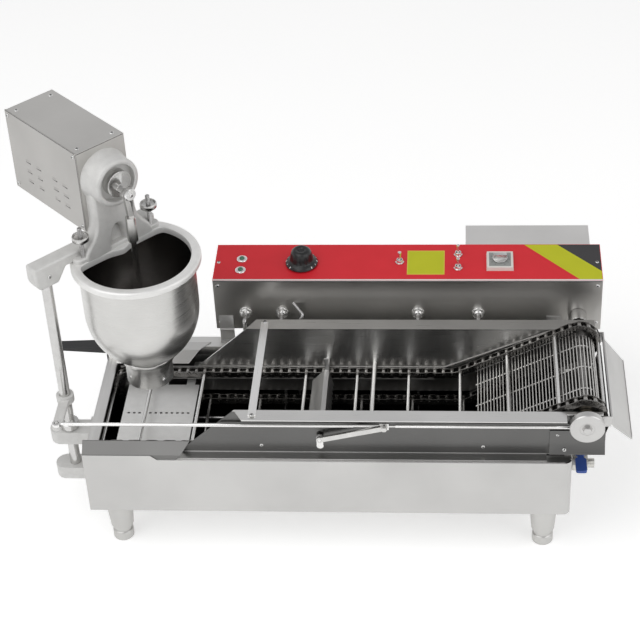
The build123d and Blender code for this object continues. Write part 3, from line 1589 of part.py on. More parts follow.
# Toggle switches: threaded bushings with hex nuts, and tilted levers.
toggle_spots = [(left_x + 554.0, 52.0), (left_x + 662.0, 74.0), (left_x + 662.0, 34.0)]
bushing_height = 8.0
toggle_pivot = 3.0
toggle_bore = 4.4
toggle_tilt = 13.0
with BuildPart() as panel_bushings:
    with BuildSketch(panel_top):
        with Locations(*toggle_spots):
            RegularPolygon(8.5, 6)
    extrude(amount=2.5)
    with BuildSketch(panel_top.offset(2.5)):
        with Locations(*toggle_spots):
            RegularPolygon(6.0, 8)
    extrude(amount=bushing_height - 2.5)
    with BuildSketch(panel_top.offset(bushing_height)):
        with Locations(*toggle_spots):
            RegularPolygon(toggle_bore, 8)
    extrude(amount=-(bushing_height - 0.5), mode=Mode.SUBTRACT)
    with BuildSketch(panel_top):
        with Locations(knob_spot):
            RegularPolygon(6.0, 8)
    extrude(amount=2.0)
    with BuildSketch(panel_top.offset(2.0)):
        with Locations(knob_spot):
            bar(3.0, 8)
    extrude(amount=9.0)
panel_bushings.part.label = "panel_bushings"


def make_toggle(spot, label):
    """Toggle lever with a thicker tip, tilted back about its pivot in the bushing."""
    pivot = panel_top.from_local_coords(Vector(spot[0], spot[1], toggle_pivot))
    lean = radians(toggle_tilt) - panel_slope
    lever_plane = Plane(origin=pivot, x_dir=(1, 0, 0), z_dir=(0, sin(lean), cos(lean)))
    with BuildPart() as lever:
        with BuildSketch(lever_plane.offset(-1.8)):
            bar(2.6, 8)
        extrude(amount=3.6)
        with BuildSketch(lever_plane.offset(1.8)):
            bar(1.8, 8)
        extrude(amount=9.2)
        with BuildSketch(lever_plane.offset(11.0)):
            bar(2.6, 8)
        extrude(amount=9.0)
    lever.part.label = label
    return lever


toggle_left = make_toggle(toggle_spots[0], "toggle_left")
toggle_rear = make_toggle(toggle_spots[1], "toggle_rear")
toggle_front = make_toggle(toggle_spots[2], "toggle_front")

pieces = [
    tank_casing, front_panel, tank_basin, infeed_covers, legs,
    foot_front_left, foot_front_right, foot_rear_left, foot_rear_right,
    side_handle, drain_valve, valve_lever, column_bracket,
    side_channel_front, side_channel_rear, chain_frames, guide_rails, cross_ties,
    conveyor_brackets, drive_bearings, drive_shaft, idler_shaft, crank_disc,
    chains, flights, drain_grille, chute, drop_plate,
    flipper_shaft, flipper_tray, flipper_link, link_rod, column, rocker_arm,
    support_arm, hopper_ring, hopper_bowl, hopper_neck, head_casting, crank_hub, plunger,
    motor_box, motor_side_panel, head_motor, thumb_nut_left, thumb_nut_right,
    control_box, control_panel, motor_housing, box_mounts, immersion_tubes, heater_glands,
    indicator_lamps, panel_bushings, thermostat_knob, timer_body, timer_knob,
    toggle_left, toggle_rear, toggle_front,
]
# Datum: the middle of the machine's footprint, on the floor.
left_end = (hopper_axis + u_dir * motor_box_back - v_dir * motor_box_half).X
right_end = chute_low_x + chute_lip
front_end = disc_front_y - disc_bolt
rear_end = box_rear_y + housing_depth
datum = Location((-(left_end + right_end) / 2, -(front_end + rear_end) / 2, 0))

os.makedirs("parts", exist_ok=True)
for piece in pieces:
    export_step(piece.part.moved(datum), f"parts/{piece.part.label}.step")
print(len(pieces), "pieces")
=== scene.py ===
import json
from math import atan2, cos, pi, radians, sin

import bmesh
import bpy
import numpy as np
from mathutils import Matrix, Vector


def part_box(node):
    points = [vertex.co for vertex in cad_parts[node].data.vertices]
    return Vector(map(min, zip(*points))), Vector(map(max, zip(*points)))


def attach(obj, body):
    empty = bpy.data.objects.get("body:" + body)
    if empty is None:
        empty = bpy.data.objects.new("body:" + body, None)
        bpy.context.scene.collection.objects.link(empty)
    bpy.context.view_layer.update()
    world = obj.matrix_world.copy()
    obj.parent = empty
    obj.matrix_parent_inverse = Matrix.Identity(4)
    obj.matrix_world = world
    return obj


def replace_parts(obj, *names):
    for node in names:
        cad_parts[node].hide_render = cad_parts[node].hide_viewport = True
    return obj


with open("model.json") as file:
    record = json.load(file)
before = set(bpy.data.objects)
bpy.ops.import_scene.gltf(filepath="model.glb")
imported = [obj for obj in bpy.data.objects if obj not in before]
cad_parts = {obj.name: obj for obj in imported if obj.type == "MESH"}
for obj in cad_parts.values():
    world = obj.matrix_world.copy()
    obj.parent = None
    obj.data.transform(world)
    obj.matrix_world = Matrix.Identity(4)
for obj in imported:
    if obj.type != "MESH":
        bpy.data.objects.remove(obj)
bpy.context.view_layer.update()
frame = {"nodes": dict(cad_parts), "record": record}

# Camera: the photograph's own viewpoint, high in front and a little to the right of the tank,
# with a long lens. Sizes below are millimetres from the tank's own front and middle.
tank_shift = np.array([5.002465, -242.0, 0.0])


def place(points):
    """Points in tank millimetres moved to the machine's frame and turned into metres."""
    return (np.asarray(points, float) + tank_shift) / 1000.0


def looking(yaw, pitch, roll):
    """Rows right, up and back of a camera turned left by yaw, tipped down by pitch and rolled."""
    forward = np.array([-sin(yaw) * cos(pitch), cos(yaw) * cos(pitch), -sin(pitch)])
    level = np.array([cos(yaw), sin(yaw), 0.0])
    below = np.cross(forward, level)
    right = cos(roll) * level + sin(roll) * below
    down = cos(roll) * below - sin(roll) * level
    return np.array([right, -down, -forward])


def stood(name, data, rows, spot):
    """New camera or lamp at spot in metres, with its right, up and back along the three rows."""
    thing = bpy.data.objects.new(name, data)
    thing.matrix_world = Matrix([[*rows[:, k], spot[k]] for k in range(3)] + [[0, 0, 0, 1]])
    bpy.context.scene.collection.objects.link(thing)
    return thing


photo_pixels = 640.0
focal_pixels = 1796.0
lens_data = bpy.data.cameras.new("photo_camera")
lens_data.sensor_fit = "HORIZONTAL"
lens_data.sensor_width = 36.0
lens_data.lens = 36.0 * focal_pixels / photo_pixels
lens_data.clip_end = 50.0
view_rows = looking(yaw=radians(5.50), pitch=radians(36.79), roll=radians(3.20))
bpy.context.scene.camera = stood("photo_camera", lens_data, view_rows, place([232.5, -2356.0, 2302.6]))
bpy.context.scene.view_settings.view_transform = "Standard"


# Studio: a white seamless floor under a bright room, with a large soft light high on the left
# and a weaker one on the right, as for a shop picture on white.
def nodes_of(owner):
    """Maker of linked nodes in the emptied node tree of a material or world."""
    owner.use_nodes = True
    tree = owner.node_tree
    tree.nodes.clear()

    def add(kind, links=(), **values):
        """New shader node with its plain settings, then its sockets filled or linked by name or number."""
        node = tree.nodes.new("ShaderNode" + kind)
        for key, value in values.items():
            setattr(node, key, value)
        for key, value in dict(links).items():
            socket = node.inputs[key]
            if isinstance(value, bpy.types.NodeSocket):
                tree.links.new(value, socket)
            else:
                socket.default_value = value
        return node

    return add


def ramp(add, value, low, high, low_out, high_out):
    """Value from low to high carried over to low_out to high_out, and held beyond both ends."""
    return add("MapRange", {0: value, 1: low, 2: high, 3: low_out, 4: high_out}).outputs[0]


def mixed(add, share, low, high):
    """Colour that goes from low to high as share goes from 0 to 1."""
    return add("Mix", {0: share, 6: (*low, 1.0), 7: (*high, 1.0)}, data_type="RGBA").outputs[2]


def on_white(add):
    """1 for rays that meet the white background, seen, mirrored or passed through, and 0 for light."""
    rays = add("LightPath").outputs
    seen = add("Math", {0: rays["Is Camera Ray"], 1: rays["Is Glossy Ray"]}, operation="MAXIMUM")
    through = {0: seen.outputs[0], 1: rays["Is Transmission Ray"]}
    return add("Math", through, operation="MAXIMUM").outputs[0]


white = (1.0, 1.0, 1.0)
room = bpy.data.worlds.new("studio_room")
bpy.context.scene.world = room
room_node = nodes_of(room)
rise = room_node("SeparateXYZ", {0: room_node("TexCoord").outputs["Generated"]}).outputs["Z"]
room_tone = mixed(room_node, ramp(room_node, rise, 0.05, 0.75, 0.0, 1.0), white, (0.52, 0.52, 0.53))
soft = room_node("Background", {"Color": (*white, 1.0), "Strength": 0.42})
pale = room_node("Background", {"Color": room_tone, "Strength": 1.0})
either = room_node("MixShader", {0: on_white(room_node), 1: soft.outputs[0], 2: pale.outputs[0]})
room_node("OutputWorld", {"Surface": either.outputs[0]})

floor_mesh = bpy.data.meshes.new("floor")
floor_mesh.from_pydata([(-9, -9, 0), (9, -9, 0), (9, 9, 0), (-9, 9, 0)], [], [(0, 1, 2, 3)])
floor = bpy.data.objects.new("floor", floor_mesh)
bpy.context.scene.collection.objects.link(floor)
floor_paint = bpy.data.materials.new("pale_floor")
floor_node = nodes_of(floor_paint)
floor_spot = floor_node("TexCoord").outputs["Object"]
floor_cloud = floor_node("TexNoise", {"Vector": floor_spot, "Scale": 2.0}).outputs[0]
floor_tone = mixed(floor_node, floor_cloud, (0.93, 0.93, 0.93), (0.95, 0.95, 0.945))
floor_face = floor_node("BsdfPrincipled", {"Base Color": floor_tone, "Roughness": 0.9}).outputs[0]
floor_glow = floor_node("Emission", {"Color": (*white, 1.0), "Strength": 0.40}).outputs[0]
floor_white = floor_node("AddShader", {0: floor_face, 1: floor_glow}).outputs[0]
floor_both = floor_node("MixShader", {0: on_white(floor_node), 1: floor_face, 2: floor_white})
floor_node("OutputMaterial", {"Surface": floor_both.outputs[0]})
floor_mesh.materials.append(floor_paint)


def unit(vectors):
    """Vectors along the last axis brought to length one."""
    vectors = np.asarray(vectors, float)
    return vectors / np.linalg.norm(vectors, axis=-1, keepdims=True)


for lamp_name, spot, aim, size, power in (
    ("key_light", (-1.6, -1.5, 2.9), (0.0, 0.0, 0.2), 3.6, 46.0),
    ("fill_light", (2.4, -1.2, 2.2), (0.1, 0.0, 0.2), 2.8, 20.0),
):
    lamp_data = bpy.data.lights.new(lamp_name, "AREA")
    lamp_data.shape = "DISK"
    lamp_data.size = size
    lamp_data.energy = power
    back = unit(np.subtract(spot, aim))
    side = unit(np.cross([0.0, 0.0, 1.0], back))
    stood(lamp_name, lamp_data, np.array([side, np.cross(back, side), back]), spot)


# Tank casing, front panel and covers: 2 mm stainless sheet, folded, with a brushed face whose
# grain runs along the tank. The edges are broken with a file, so each catches a thin light.
def new_paint(name):
    """New material, its maker of nodes, and the socket with each point's place in the machine's frame."""
    paint = bpy.data.materials.new(name)
    add = nodes_of(paint)
    return paint, add, add("TexCoord").outputs["Object"]


def noise(add, spot, scale, detail, crisp=0.5):
    """Noise about spot; crisp is how much its finer layers count."""
    sizes = {"Scale": scale, "Detail": detail, "Roughness": crisp}
    return add("TexNoise", {"Vector": spot, **sizes}).outputs[0]


def product(add, colour, share):
    """Colour times share."""
    return add("VectorMath", {0: colour, 1: share}, operation="MULTIPLY").outputs[0]


def streaked(add, colour, lines, low, high, cloud, least):
    """Colour that the lines move from low to high times itself, under a cloud from least to 1.04 times."""
    ends = [[min(1.0, c * share) for c in colour] for share in (low, high)]
    return product(add, mixed(add, lines, *ends), ramp(add, cloud, 0.3, 0.7, least, 1.04))


def surface(add, colour, grain, rough, bump, deep, more):
    """Closes a material: the grain moves its gloss between the two ends of rough and gives its relief, deep
    in metres; more fills other sockets of the shader."""
    gloss = ramp(add, grain, 0.25, 0.75, *rough)
    relief = add("Bump", {"Height": grain, "Strength": bump, "Distance": deep}).outputs[0]
    face = add("BsdfPrincipled", {"Base Color": colour, "Roughness": gloss, "Normal": relief, **more})
    add("OutputMaterial", {"Surface": face.outputs[0]})


def brushed(name, colour, grain, rough=0.30, turn=0.0, dark=()):
    """Brushed steel: noise drawn out along one way gives the grain in tone, gloss and relief.

    grain is the noise's scale along X, Y and Z, turn is its angle about Z, and each step of dark paints
    shade
    or light into the colour: (axis, low, high, share of the colour below low), in metres along that axis.
    """
    paint, add, spot = new_paint(name)
    drawn = add("Mapping", {"Vector": spot, "Rotation": (0, 0, turn), "Scale": grain}).outputs[0]
    lines = noise(add, drawn, 1.0, 4.0, 0.62)
    tone = streaked(add, colour, lines, 0.95, 1.05, noise(add, spot, 7.0, 3.0), 0.93)
    for axis, low, high, share in dark:
        along = add("SeparateXYZ", {0: spot}).outputs[axis]
        tone = product(add, tone, ramp(add, along, low, high, share, 1.0))
    surface(add, tone, lines, (rough - 0.04, rough + 0.05), 0.05, 0.0002, {"Metallic": 1.0})
    return paint


def piece_of(work, name, sharp, paint, body):
    """Finished piece from bmesh work: smooth but for edges past the sharp angle in degrees, with its
    material and the body that carries it."""
    mesh = bpy.data.meshes.new(name)
    work.to_mesh(mesh)
    work.free()
    mesh.shade_smooth()
    mesh.set_sharp_from_angle(angle=radians(sharp))
    mesh.materials.clear()
    mesh.materials.append(paint)
    piece = bpy.data.objects.new(name, mesh)
    bpy.context.scene.collection.objects.link(piece)
    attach(piece, body)
    return piece


body_of = {node: body for body, nodes in frame["record"]["behaviour"]["bodies"].items() for node in nodes}


def rounded(piece, ease, sharp, rounds):
    """Bevels the edges that turn by more than sharp degrees, ease mm wide in this many rounds."""
    soften = piece.modifiers.new("edge", "BEVEL")
    soften.width = ease / 1000.0
    soften.segments = rounds
    soften.limit_method = "ANGLE"
    soften.angle_limit = radians(sharp)
    soften.harden_normals = True


def eased(node, ease, paint, sharp=38.0, rounds=2):
    """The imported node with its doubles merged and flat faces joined, and its edges rounded by ease mm."""
    work = bmesh.new()
    work.from_mesh(frame["nodes"][node].data)
    bmesh.ops.remove_doubles(work, verts=work.verts, dist=2e-5)
    bmesh.ops.dissolve_limit(work, angle_limit=radians(0.6), verts=work.verts, edges=work.edges)
    piece = piece_of(work, node + "_eased", sharp, paint, body_of[node])
    rounded(piece, ease, sharp, rounds)
    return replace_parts(piece, node)


sheet_grain = (14.0, 1500.0, 1500.0)
casing_steel = brushed("casing_steel", (0.55, 0.545, 0.535), sheet_grain, rough=0.38)
eased("tank_casing", 0.9, casing_steel)
eased("front_panel", 1.2, casing_steel, rounds=3)
# Painted shade: the infeed covers darken towards the front, to 0.28 of their colour in front of Y = -0.15
# m.
cover_painted_shade = [("Y", -0.15, 0.0, 0.28)]
cover_steel = brushed("cover_steel", (0.62, 0.615, 0.60), sheet_grain, rough=0.36, dark=cover_painted_shade)
eased("infeed_covers", 0.5, cover_steel)

# Fryer basin: a folded pan in the same sheet, bright along the deck and the rear ledge, with
# painted shade below the rim that darkens the pan inside to 0.04 of its colour.
basin_grain = (14.0, 1300.0, 1300.0)
basin_painted_shade = [("Z", 0.150, 0.219, 0.04)]
basin_steel = brushed("basin_steel", (0.74, 0.735, 0.72), basin_grain, rough=0.34, dark=basin_painted_shade)
eased("tank_basin", 0.8, basin_steel)


# Legs and feet: turned cones welded under the casing, each with a screw-in levelling foot that
# has a waist above its pad and a fine grip round its edge.
def quads(rows, columns, close_rows=False, close_columns=False):
    """Quads of a grid of points numbered row by row; a closed way joins its end to its start."""
    i, j = np.meshgrid(
        np.arange(rows if close_rows else rows - 1),
        np.arange(columns if close_columns else columns - 1),
        indexing="ij",
    )
    i_next = (i + 1) % rows
    j_next = (j + 1) % columns
    corners = [i * columns + j, i_next * columns + j, i_next * columns + j_next, i * columns + j_next]
    return np.stack(corners, -1).reshape(-1, 4)


def square_to(axis):
    """Unit direction square to the unit axis, and level unless the axis stands upright."""
    return unit(np.cross(axis, [0.0, 0.0, 1.0] if abs(axis[2]) < 0.9 else [1.0, 0.0, 0.0]))


def spun(profile, foot, axis=(0, 0, 1), sides=48, closed=False, ripple=None):
    """Profile (radius, height) turned about axis from foot; ripple(angle, height) adds to the radius."""
    shape = np.asarray(profile, float)
    axis = unit(axis)
    across = square_to(axis)
    other = np.cross(axis, across)
    angle = np.linspace(0, 2 * pi, sides, endpoint=False)[:, None]
    radius = np.broadcast_to(shape[:, 0], (sides, len(shape)))
    if ripple is not None:
        radius = radius + np.where(radius > 0, ripple(angle, shape[:, 1][None, :]), 0.0)
    ring = np.cos(angle)[..., None] * across + np.sin(angle)[..., None] * other
    points = np.asarray(foot, float) + radius[..., None] * ring + shape[:, 1][None, :, None] * axis
    return points.reshape(-1, 3), quads(sides, len(shape), True, closed)


def made(name, shapes, paint, body, sharp=38.0):
    """New piece from (points, faces) shapes in tank mm: each one's faces counted on from the last, doubles
    merged and faces turned outwards."""
    starts = np.cumsum([0] + [len(points) for points, _ in shapes])
    points = np.concatenate([points for points, _ in shapes])
    faces = []
    for start, (_, group) in zip(starts, shapes):
        faces += (group + start).tolist()
    rough_mesh = bpy.data.meshes.new(name + "_rough")
    rough_mesh.from_pydata(place(points).tolist(), [], faces)
    work = bmesh.new()
    work.from_mesh(rough_mesh)
    bpy.data.meshes.remove(rough_mesh)
    bmesh.ops.remove_doubles(work, verts=work.verts, dist=1e-7)
    bmesh.ops.dissolve_degenerate(work, edges=work.edges, dist=1e-8)
    bmesh.ops.recalc_face_normals(work, faces=work.faces)
    return piece_of(work, name, sharp, paint, body)


def stand_in(node, name, shapes, paint, sharp=38.0):
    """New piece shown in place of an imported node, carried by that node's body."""
    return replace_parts(made(name, shapes, paint, body_of[node], sharp), node)


leg_spots = {
    "front_left": (-386.0, 46.0, 0.0),
    "front_right": (386.0, 46.0, 0.0),
    "rear_left": (-386.0, 283.0, 0.0),
    "rear_right": (386.0, 283.0, 0.0),
}
leg_steel = brushed("leg_steel", (0.55, 0.545, 0.53), (200.0, 200.0, 1500.0), rough=0.36)
leg_profile = [(8.6, 30.0), (19.6, 30.0), (21.0, 31.4), (26.3, 100.4), (25.6, 102.0), (8.6, 102.0)]
leg_cones = [spun(leg_profile, spot, closed=True) for spot in leg_spots.values()]
stand_in("legs", "leg_cones", leg_cones, leg_steel)
foot_profile = [
    (0.0, 0.0), (17.8, 0.0), (19.0, 1.2), (19.0, 17.0), (18.2, 18.4), (16.4, 19.6),
    (16.4, 25.0), (17.6, 26.2), (17.6, 29.0), (17.0, 29.7), (8.0, 29.7), (8.0, 57.7), (0.0, 57.7),
]


def foot_grip(angle, height):
    """Shallow flutes round the pad between 1 and 17.5 mm up."""
    return np.where((height > 1.0) & (height < 17.5), -0.35 * np.cos(28 * angle) ** 2, 0.0)


for corner, spot in leg_spots.items():
    pad = spun(foot_profile, spot, sides=112, ripple=foot_grip)
    stand_in("foot_" + corner, "foot_pad_" + corner, [pad], leg_steel)


# Small pan-head screws with a cross slot, bright zinc or stainless, that hold the covers, the
# tie bar, the box ends and the motor box together.
def plain_metal(name, low, high, rough, scale=260.0, bump=0.06, metal=1.0):
    """Bright or dark metal with a fine even grain: noise moves its tone, gloss and relief."""
    paint, add, spot = new_paint(name)
    grain = noise(add, spot, scale, 4.0)
    cloud = noise(add, spot, scale / 14.0, 2.0)
    both = add("Math", {0: grain, 1: cloud}, operation="MULTIPLY").outputs[0]
    tone = mixed(add, ramp(add, both, 0.12, 0.40, 0.0, 1.0), low, high)
    surface(add, tone, grain, (rough - 0.03, rough + 0.04), bump, 0.0004, {"Metallic": metal})
    return paint


screw_steel = plain_metal("screw_steel", (0.50, 0.50, 0.49), (0.74, 0.74, 0.73), 0.22)
# Painted shade: a near-black colour for the screws' cross slots and the motor box's seams.
slot_shade = plain_metal("slot_shade", (0.03, 0.03, 0.03), (0.06, 0.06, 0.06), 0.5)


def slab(middle, along, over, size, normal_depth):
    """Box about middle with sides size along two directions and normal_depth along their normal."""
    along = np.asarray(along, float)
    over = np.asarray(over, float)
    out = np.cross(along, over)
    signs = np.array([[a, b, c] for a in (-1, 1) for b in (-1, 1) for c in (-1, 1)], float)
    half = signs * np.array([size[0], size[1], normal_depth]) / 2.0
    points = np.asarray(middle, float) + half @ np.array([along, over, out])
    faces = np.array([[0, 1, 3, 2], [4, 6, 7, 5], [0, 4, 5, 1], [2, 3, 7, 6], [0, 2, 6, 4], [1, 5, 7, 3]])
    return points, faces


slot_turn = 0.4


def screws(name, spots, out, radius, body):
    """Domed heads at spots, facing out, each with two dark bars of painted shade across its top as the
    cross slot.
    """
    out = unit(out)
    dome = [(0.0, -0.6), (radius, -0.6), (radius, 0.5), (0.86 * radius, 1.3)]
    dome += [(0.55 * radius, 1.75), (0.0, 1.9)]
    made(name, [spun(dome, spot, out, 20) for spot in spots], screw_steel, body)
    flat = square_to(out)
    along = cos(slot_turn) * flat + sin(slot_turn) * np.cross(out, flat)
    over = np.cross(out, along)
    sizes = [(1.15 * radius, 0.26 * radius), (0.26 * radius, 1.15 * radius)]
    bars = [slab(spot + 1.7 * out, along, over, size, 0.5) for spot in spots for size in sizes]
    made(name + "_slots", bars, slot_shade, body)


# Column bracket: a cast plate on the end of the casing with two rounded ears that carry the
# hopper's column, with the fine skin of the sand mould left on.
cast_alloy = plain_metal("cast_alloy", (0.66, 0.655, 0.64), (0.76, 0.755, 0.74), 0.52, 900.0, 0.10, 0.25)
eased("column_bracket", 2.4, cast_alloy, sharp=40.0, rounds=3)


# Side handle: a flat black bar standing out from the left end of the ledge. It is moulded plastic
# with a fine stipple and rounded edges.
def moulded(name, low, high, rough, bump=0.10, coat=0.0):
    """Plastic or paint: fine stipple in gloss and relief over a tone that drifts in soft clouds."""
    paint, add, spot = new_paint(name)
    stipple = noise(add, spot, 900.0, 3.0)
    tone = mixed(add, noise(add, spot, 24.0, 2.0), low, high)
    surface(add, tone, stipple, (rough - 0.05, rough + 0.06), bump, 0.0003, {"Coat Weight": coat})
    return paint


black_plastic = moulded("black_plastic", (0.006, 0.006, 0.007), (0.012, 0.012, 0.013), 0.32)
eased("side_handle", 1.4, black_plastic, rounds=3)

# Drain valve: a nickel-plated ball valve screwed into the end wall, with a lever dipped in blue
# vinyl on its stem.
valve_nickel = plain_metal("valve_nickel", (0.50, 0.49, 0.46), (0.68, 0.67, 0.64), 0.30, bump=0.12)
eased("drain_valve", 0.9, valve_nickel, sharp=44.0)
lever_vinyl = moulded("lever_vinyl", (0.026, 0.085, 0.38), (0.040, 0.115, 0.48), 0.34, coat=0.3)
eased("valve_lever", 1.5, lever_vinyl, sharp=44.0, rounds=3)
stem_nut = [(0.0, 3.0), (5.4, 3.0), (5.4, 6.6), (4.4, 7.6), (0.0, 7.6)]
stem_nuts = [spun(stem_nut, (452.0, 110.0, 151.0), sides=6)]
made("valve_stem_nut", stem_nuts, valve_nickel, "valve_lever")


# Conveyor: two side channels in brushed sheet with flanges turned outwards, inner chain frames,
# slide rails, a flat tie bar screwed across the top and brackets that hang it on the tank.
def reshaped(piece, change):
    """Moves a copy's points: change takes their (count, 3) array in metres and returns the new one."""
    points = np.zeros(3 * len(piece.data.vertices))
    piece.data.vertices.foreach_get("co", points)
    piece.data.vertices.foreach_set("co", change(points.reshape(-1, 3)).ravel())


along_grain = (14.0, 1400.0, 1400.0)
cross_grain = (900.0, 14.0, 900.0)
# Painted shade and light: the front channel's web is darkened to 0.19 of its colour below the flange, and
# painted lighter again below the deck, to about 0.65 of it.
web_painted_shade = [("Z", 0.3150, 0.3164, 0.19), ("Z", 0.2242, 0.2260, 3.4)]
channel_steel = brushed("channel_steel", (0.76, 0.755, 0.74), along_grain, rough=0.30, dark=web_painted_shade)
# Painted light: the rear channel's web below its flange is painted 1.5 times as bright as the flange.
rear_web_painted_light = [("Z", 0.3150, 0.3164, 1.5)]
rear_steel = brushed("rear_steel", (0.58, 0.575, 0.56), along_grain, rough=0.30, dark=rear_web_painted_light)
bar_steel = brushed("bar_steel", (0.95, 0.945, 0.93), cross_grain, rough=0.30)
frame_steel = brushed("frame_steel", (0.30, 0.295, 0.285), basin_grain, rough=0.38)
eased("side_channel_front", 0.6, channel_steel)
eased("side_channel_rear", 0.6, rear_steel)
eased("chain_frames", 0.5, frame_steel)
eased("guide_rails", 0.4, frame_steel)
eased("cross_ties", 0.6, bar_steel, sharp=46.0)
brackets = eased("conveyor_brackets", 0.5, channel_steel, sharp=46.0)
plate_fold = place((380.0, 24.0, 249.0))
skirt_share = 0.6


def skirt_drawn_in(points):
    """The drive end's plate below its fold, in front of the middle, at skirt_share of its reach from it."""
    on_skirt = (points[:, 0] > plate_fold[0]) & (points[:, 2] < plate_fold[2]) & (points[:, 1] < 0.0)
    drawn = plate_fold + (points - plate_fold) * [1.0, skirt_share, skirt_share]
    return np.where(on_skirt[:, None], drawn, points)


reshaped(brackets, skirt_drawn_in)
bearing_metal = plain_metal("bearing_metal", (0.13, 0.115, 0.09), (0.22, 0.195, 0.15), 0.36)
eased("drive_bearings", 0.5, bearing_metal)
screws("tie_screws", [(-123.0, 8.6, 321.0), (-123.0, 275.4, 321.0)], (0, 0, 1), 4.2, "tank")
web_spots = [(276.0, 24.0, 239.0), (-112.0, 24.0, 239.0), (276.0, 24.0, 300.0)]
screws("web_screws", web_spots, (0, -1, 0), 3.6, "tank")
screws("plate_screws", [(404.0, 22.0, 268.0), (476.0, 22.0, 268.0)], (0, -1, 0), 3.0, "tank")
screws("skirt_screw", [(416.0, 15.6, 240.6)], (0, -0.83, 0.55), 3.6, "tank")

# Roller chains: side plates with round ends, inner and outer links in turn, on rollers and
# riveted pins. Oiled dark steel, worn bright where the rollers run.
# Six double links of the CAD's chain wrap a wheel, so its pins run one link from the axle.
link_pitch = 31.75
chain_pitch = link_pitch / 2
wheel_radius = link_pitch
wheel_rate = link_pitch * 6 / (2 * pi)
chain_z = 225.0
drive_at = (452.0, 303.0)
idler_at = (-379.12, 193.25)
climb_x = 227.0
climb_reach = np.hypot(drive_at[0] - climb_x, drive_at[1] - chain_z)
climb = atan2(drive_at[1] - chain_z, drive_at[0] - climb_x) + np.arcsin(wheel_radius / climb_reach)
climb_run = np.sqrt(climb_reach**2 - wheel_radius**2)
knee = 2 * wheel_radius * np.tan(climb / 2)
level_run = climb_x - idler_at[0]
loop_length = 2 * climb_run + 2 * knee + 2 * pi * wheel_rate + 2 * level_run


def loop_points(s):
    """X and Z at distance s along the chain's loop: level, up the climb, round the drive wheel, back under
    the climb and the level, and round the idler."""
    s = np.mod(s, loop_length)
    ends = np.cumsum([level_run, climb_run, pi * wheel_rate, climb_run + knee, level_run + knee])
    since = s[None, :] - np.concatenate([[0.0], ends])[:, None]
    over = pi / 2 + climb - since[2] / wheel_rate
    under = -pi / 2 - since[5] / wheel_rate
    back_x = drive_at[0] + wheel_radius * sin(climb)
    back_z = drive_at[1] - wheel_radius * cos(climb)
    x = [
        idler_at[0] + since[0],
        climb_x + since[1] * cos(climb),
        drive_at[0] + wheel_radius * np.cos(over),
        back_x - since[3] * cos(climb),
        climb_x + knee - since[4],
        idler_at[0] + wheel_radius * np.cos(under),
    ]
    z = [
        np.full_like(s, chain_z),
        chain_z + since[1] * sin(climb),
        drive_at[1] + wheel_radius * np.sin(over),
        back_z - since[3] * sin(climb),
        np.full_like(s, chain_z - 2 * wheel_radius),
        idler_at[1] + wheel_radius * np.sin(under),
    ]
    span = np.searchsorted(ends, s)
    return np.choose(span, x), np.choose(span, z)


def capped(points):
    """Tube through a (rows, columns, 3) grid of points, closed round each row, with two flat ends."""
    rows, columns, _ = points.shape
    flat = points.reshape(-1, 3)
    ring = np.arange(columns)
    ends = np.stack([ring[::-1], ring + (rows - 1) * columns])
    return [(flat, quads(rows, columns, False, True)), (flat, ends)]


def prisms(outlines, near_y, far_y):
    """Closed prisms from (count, corners, 2) outlines in X and Z, between two depths."""
    shapes = []
    for outline in outlines:
        shapes += capped(np.stack([np.insert(outline, 1, y, axis=1) for y in (near_y, far_y)]))
    return shapes


def round_outlines(x, z, radius, corners):
    """Regular outlines of this radius about each (x, z)."""
    angle = np.linspace(0, 2 * pi, corners, endpoint=False)
    return np.stack([x[:, None] + radius * np.cos(angle), z[:, None] + radius * np.sin(angle)], -1)


def plate_outlines(x0, z0, x1, z1, radius, steps=6):
    """Flat link outlines from pin to pin: two half circles joined by straight edges."""
    way = unit(np.stack([x1 - x0, z1 - z0], -1))
    lift = np.stack([-way[:, 1], way[:, 0]], -1)
    sweep = np.linspace(-pi / 2, pi / 2, steps)
    near = np.stack([x0, z0], -1)
    far = np.stack([x1, z1], -1)
    arc = np.cos(sweep)[:, None] * way[:, None] + np.sin(sweep)[:, None] * lift[:, None]
    return np.concatenate([far[:, None] + radius * arc, near[:, None] - radius * arc], 1)


plate_steel = plain_metal("plate_steel", (0.14, 0.135, 0.13), (0.34, 0.33, 0.315), 0.24, 420.0, 0.06)
roller_steel = plain_metal("roller_steel", (0.30, 0.29, 0.28), (0.46, 0.45, 0.435), 0.20, 420.0, 0.05)
plate_radius = 5.9
plate_thick = 1.45
pin_radius = 2.4
pin_half = 8.7
roller_radius = 4.7
roller_half = 4.75
flight_near_middle = 46.5
first_pin = (flight_near_middle - idler_at[0]) % link_pitch
pin_count = int(round(loop_length / chain_pitch))
pin_x, pin_z = loop_points(first_pin + np.arange(pin_count) * loop_length / pin_count)
links = plate_outlines(pin_x, pin_z, np.roll(pin_x, -1), np.roll(pin_z, -1), plate_radius)
pins = round_outlines(pin_x, pin_z, pin_radius, 8)
roller_rings = round_outlines(pin_x, pin_z, roller_radius, 10)
for chain_name, chain_y in (("chain_front", 37.5), ("chain_rear", 246.5)):
    plates = []
    for outlines, near in ((links[0::2], 4.8), (links[1::2], 6.4)):
        plates += prisms(outlines, chain_y + near, chain_y + near + plate_thick)
        plates += prisms(outlines, chain_y - near - plate_thick, chain_y - near)
    plates += prisms(pins, chain_y - pin_half, chain_y + pin_half)
    stand_in("chains", chain_name + "_plates", plates, plate_steel, sharp=50.0)
    rollers = prisms(roller_rings, chain_y - roller_half, chain_y + roller_half)
    stand_in("chains", chain_name + "_rollers", rollers, roller_steel, sharp=50.0)

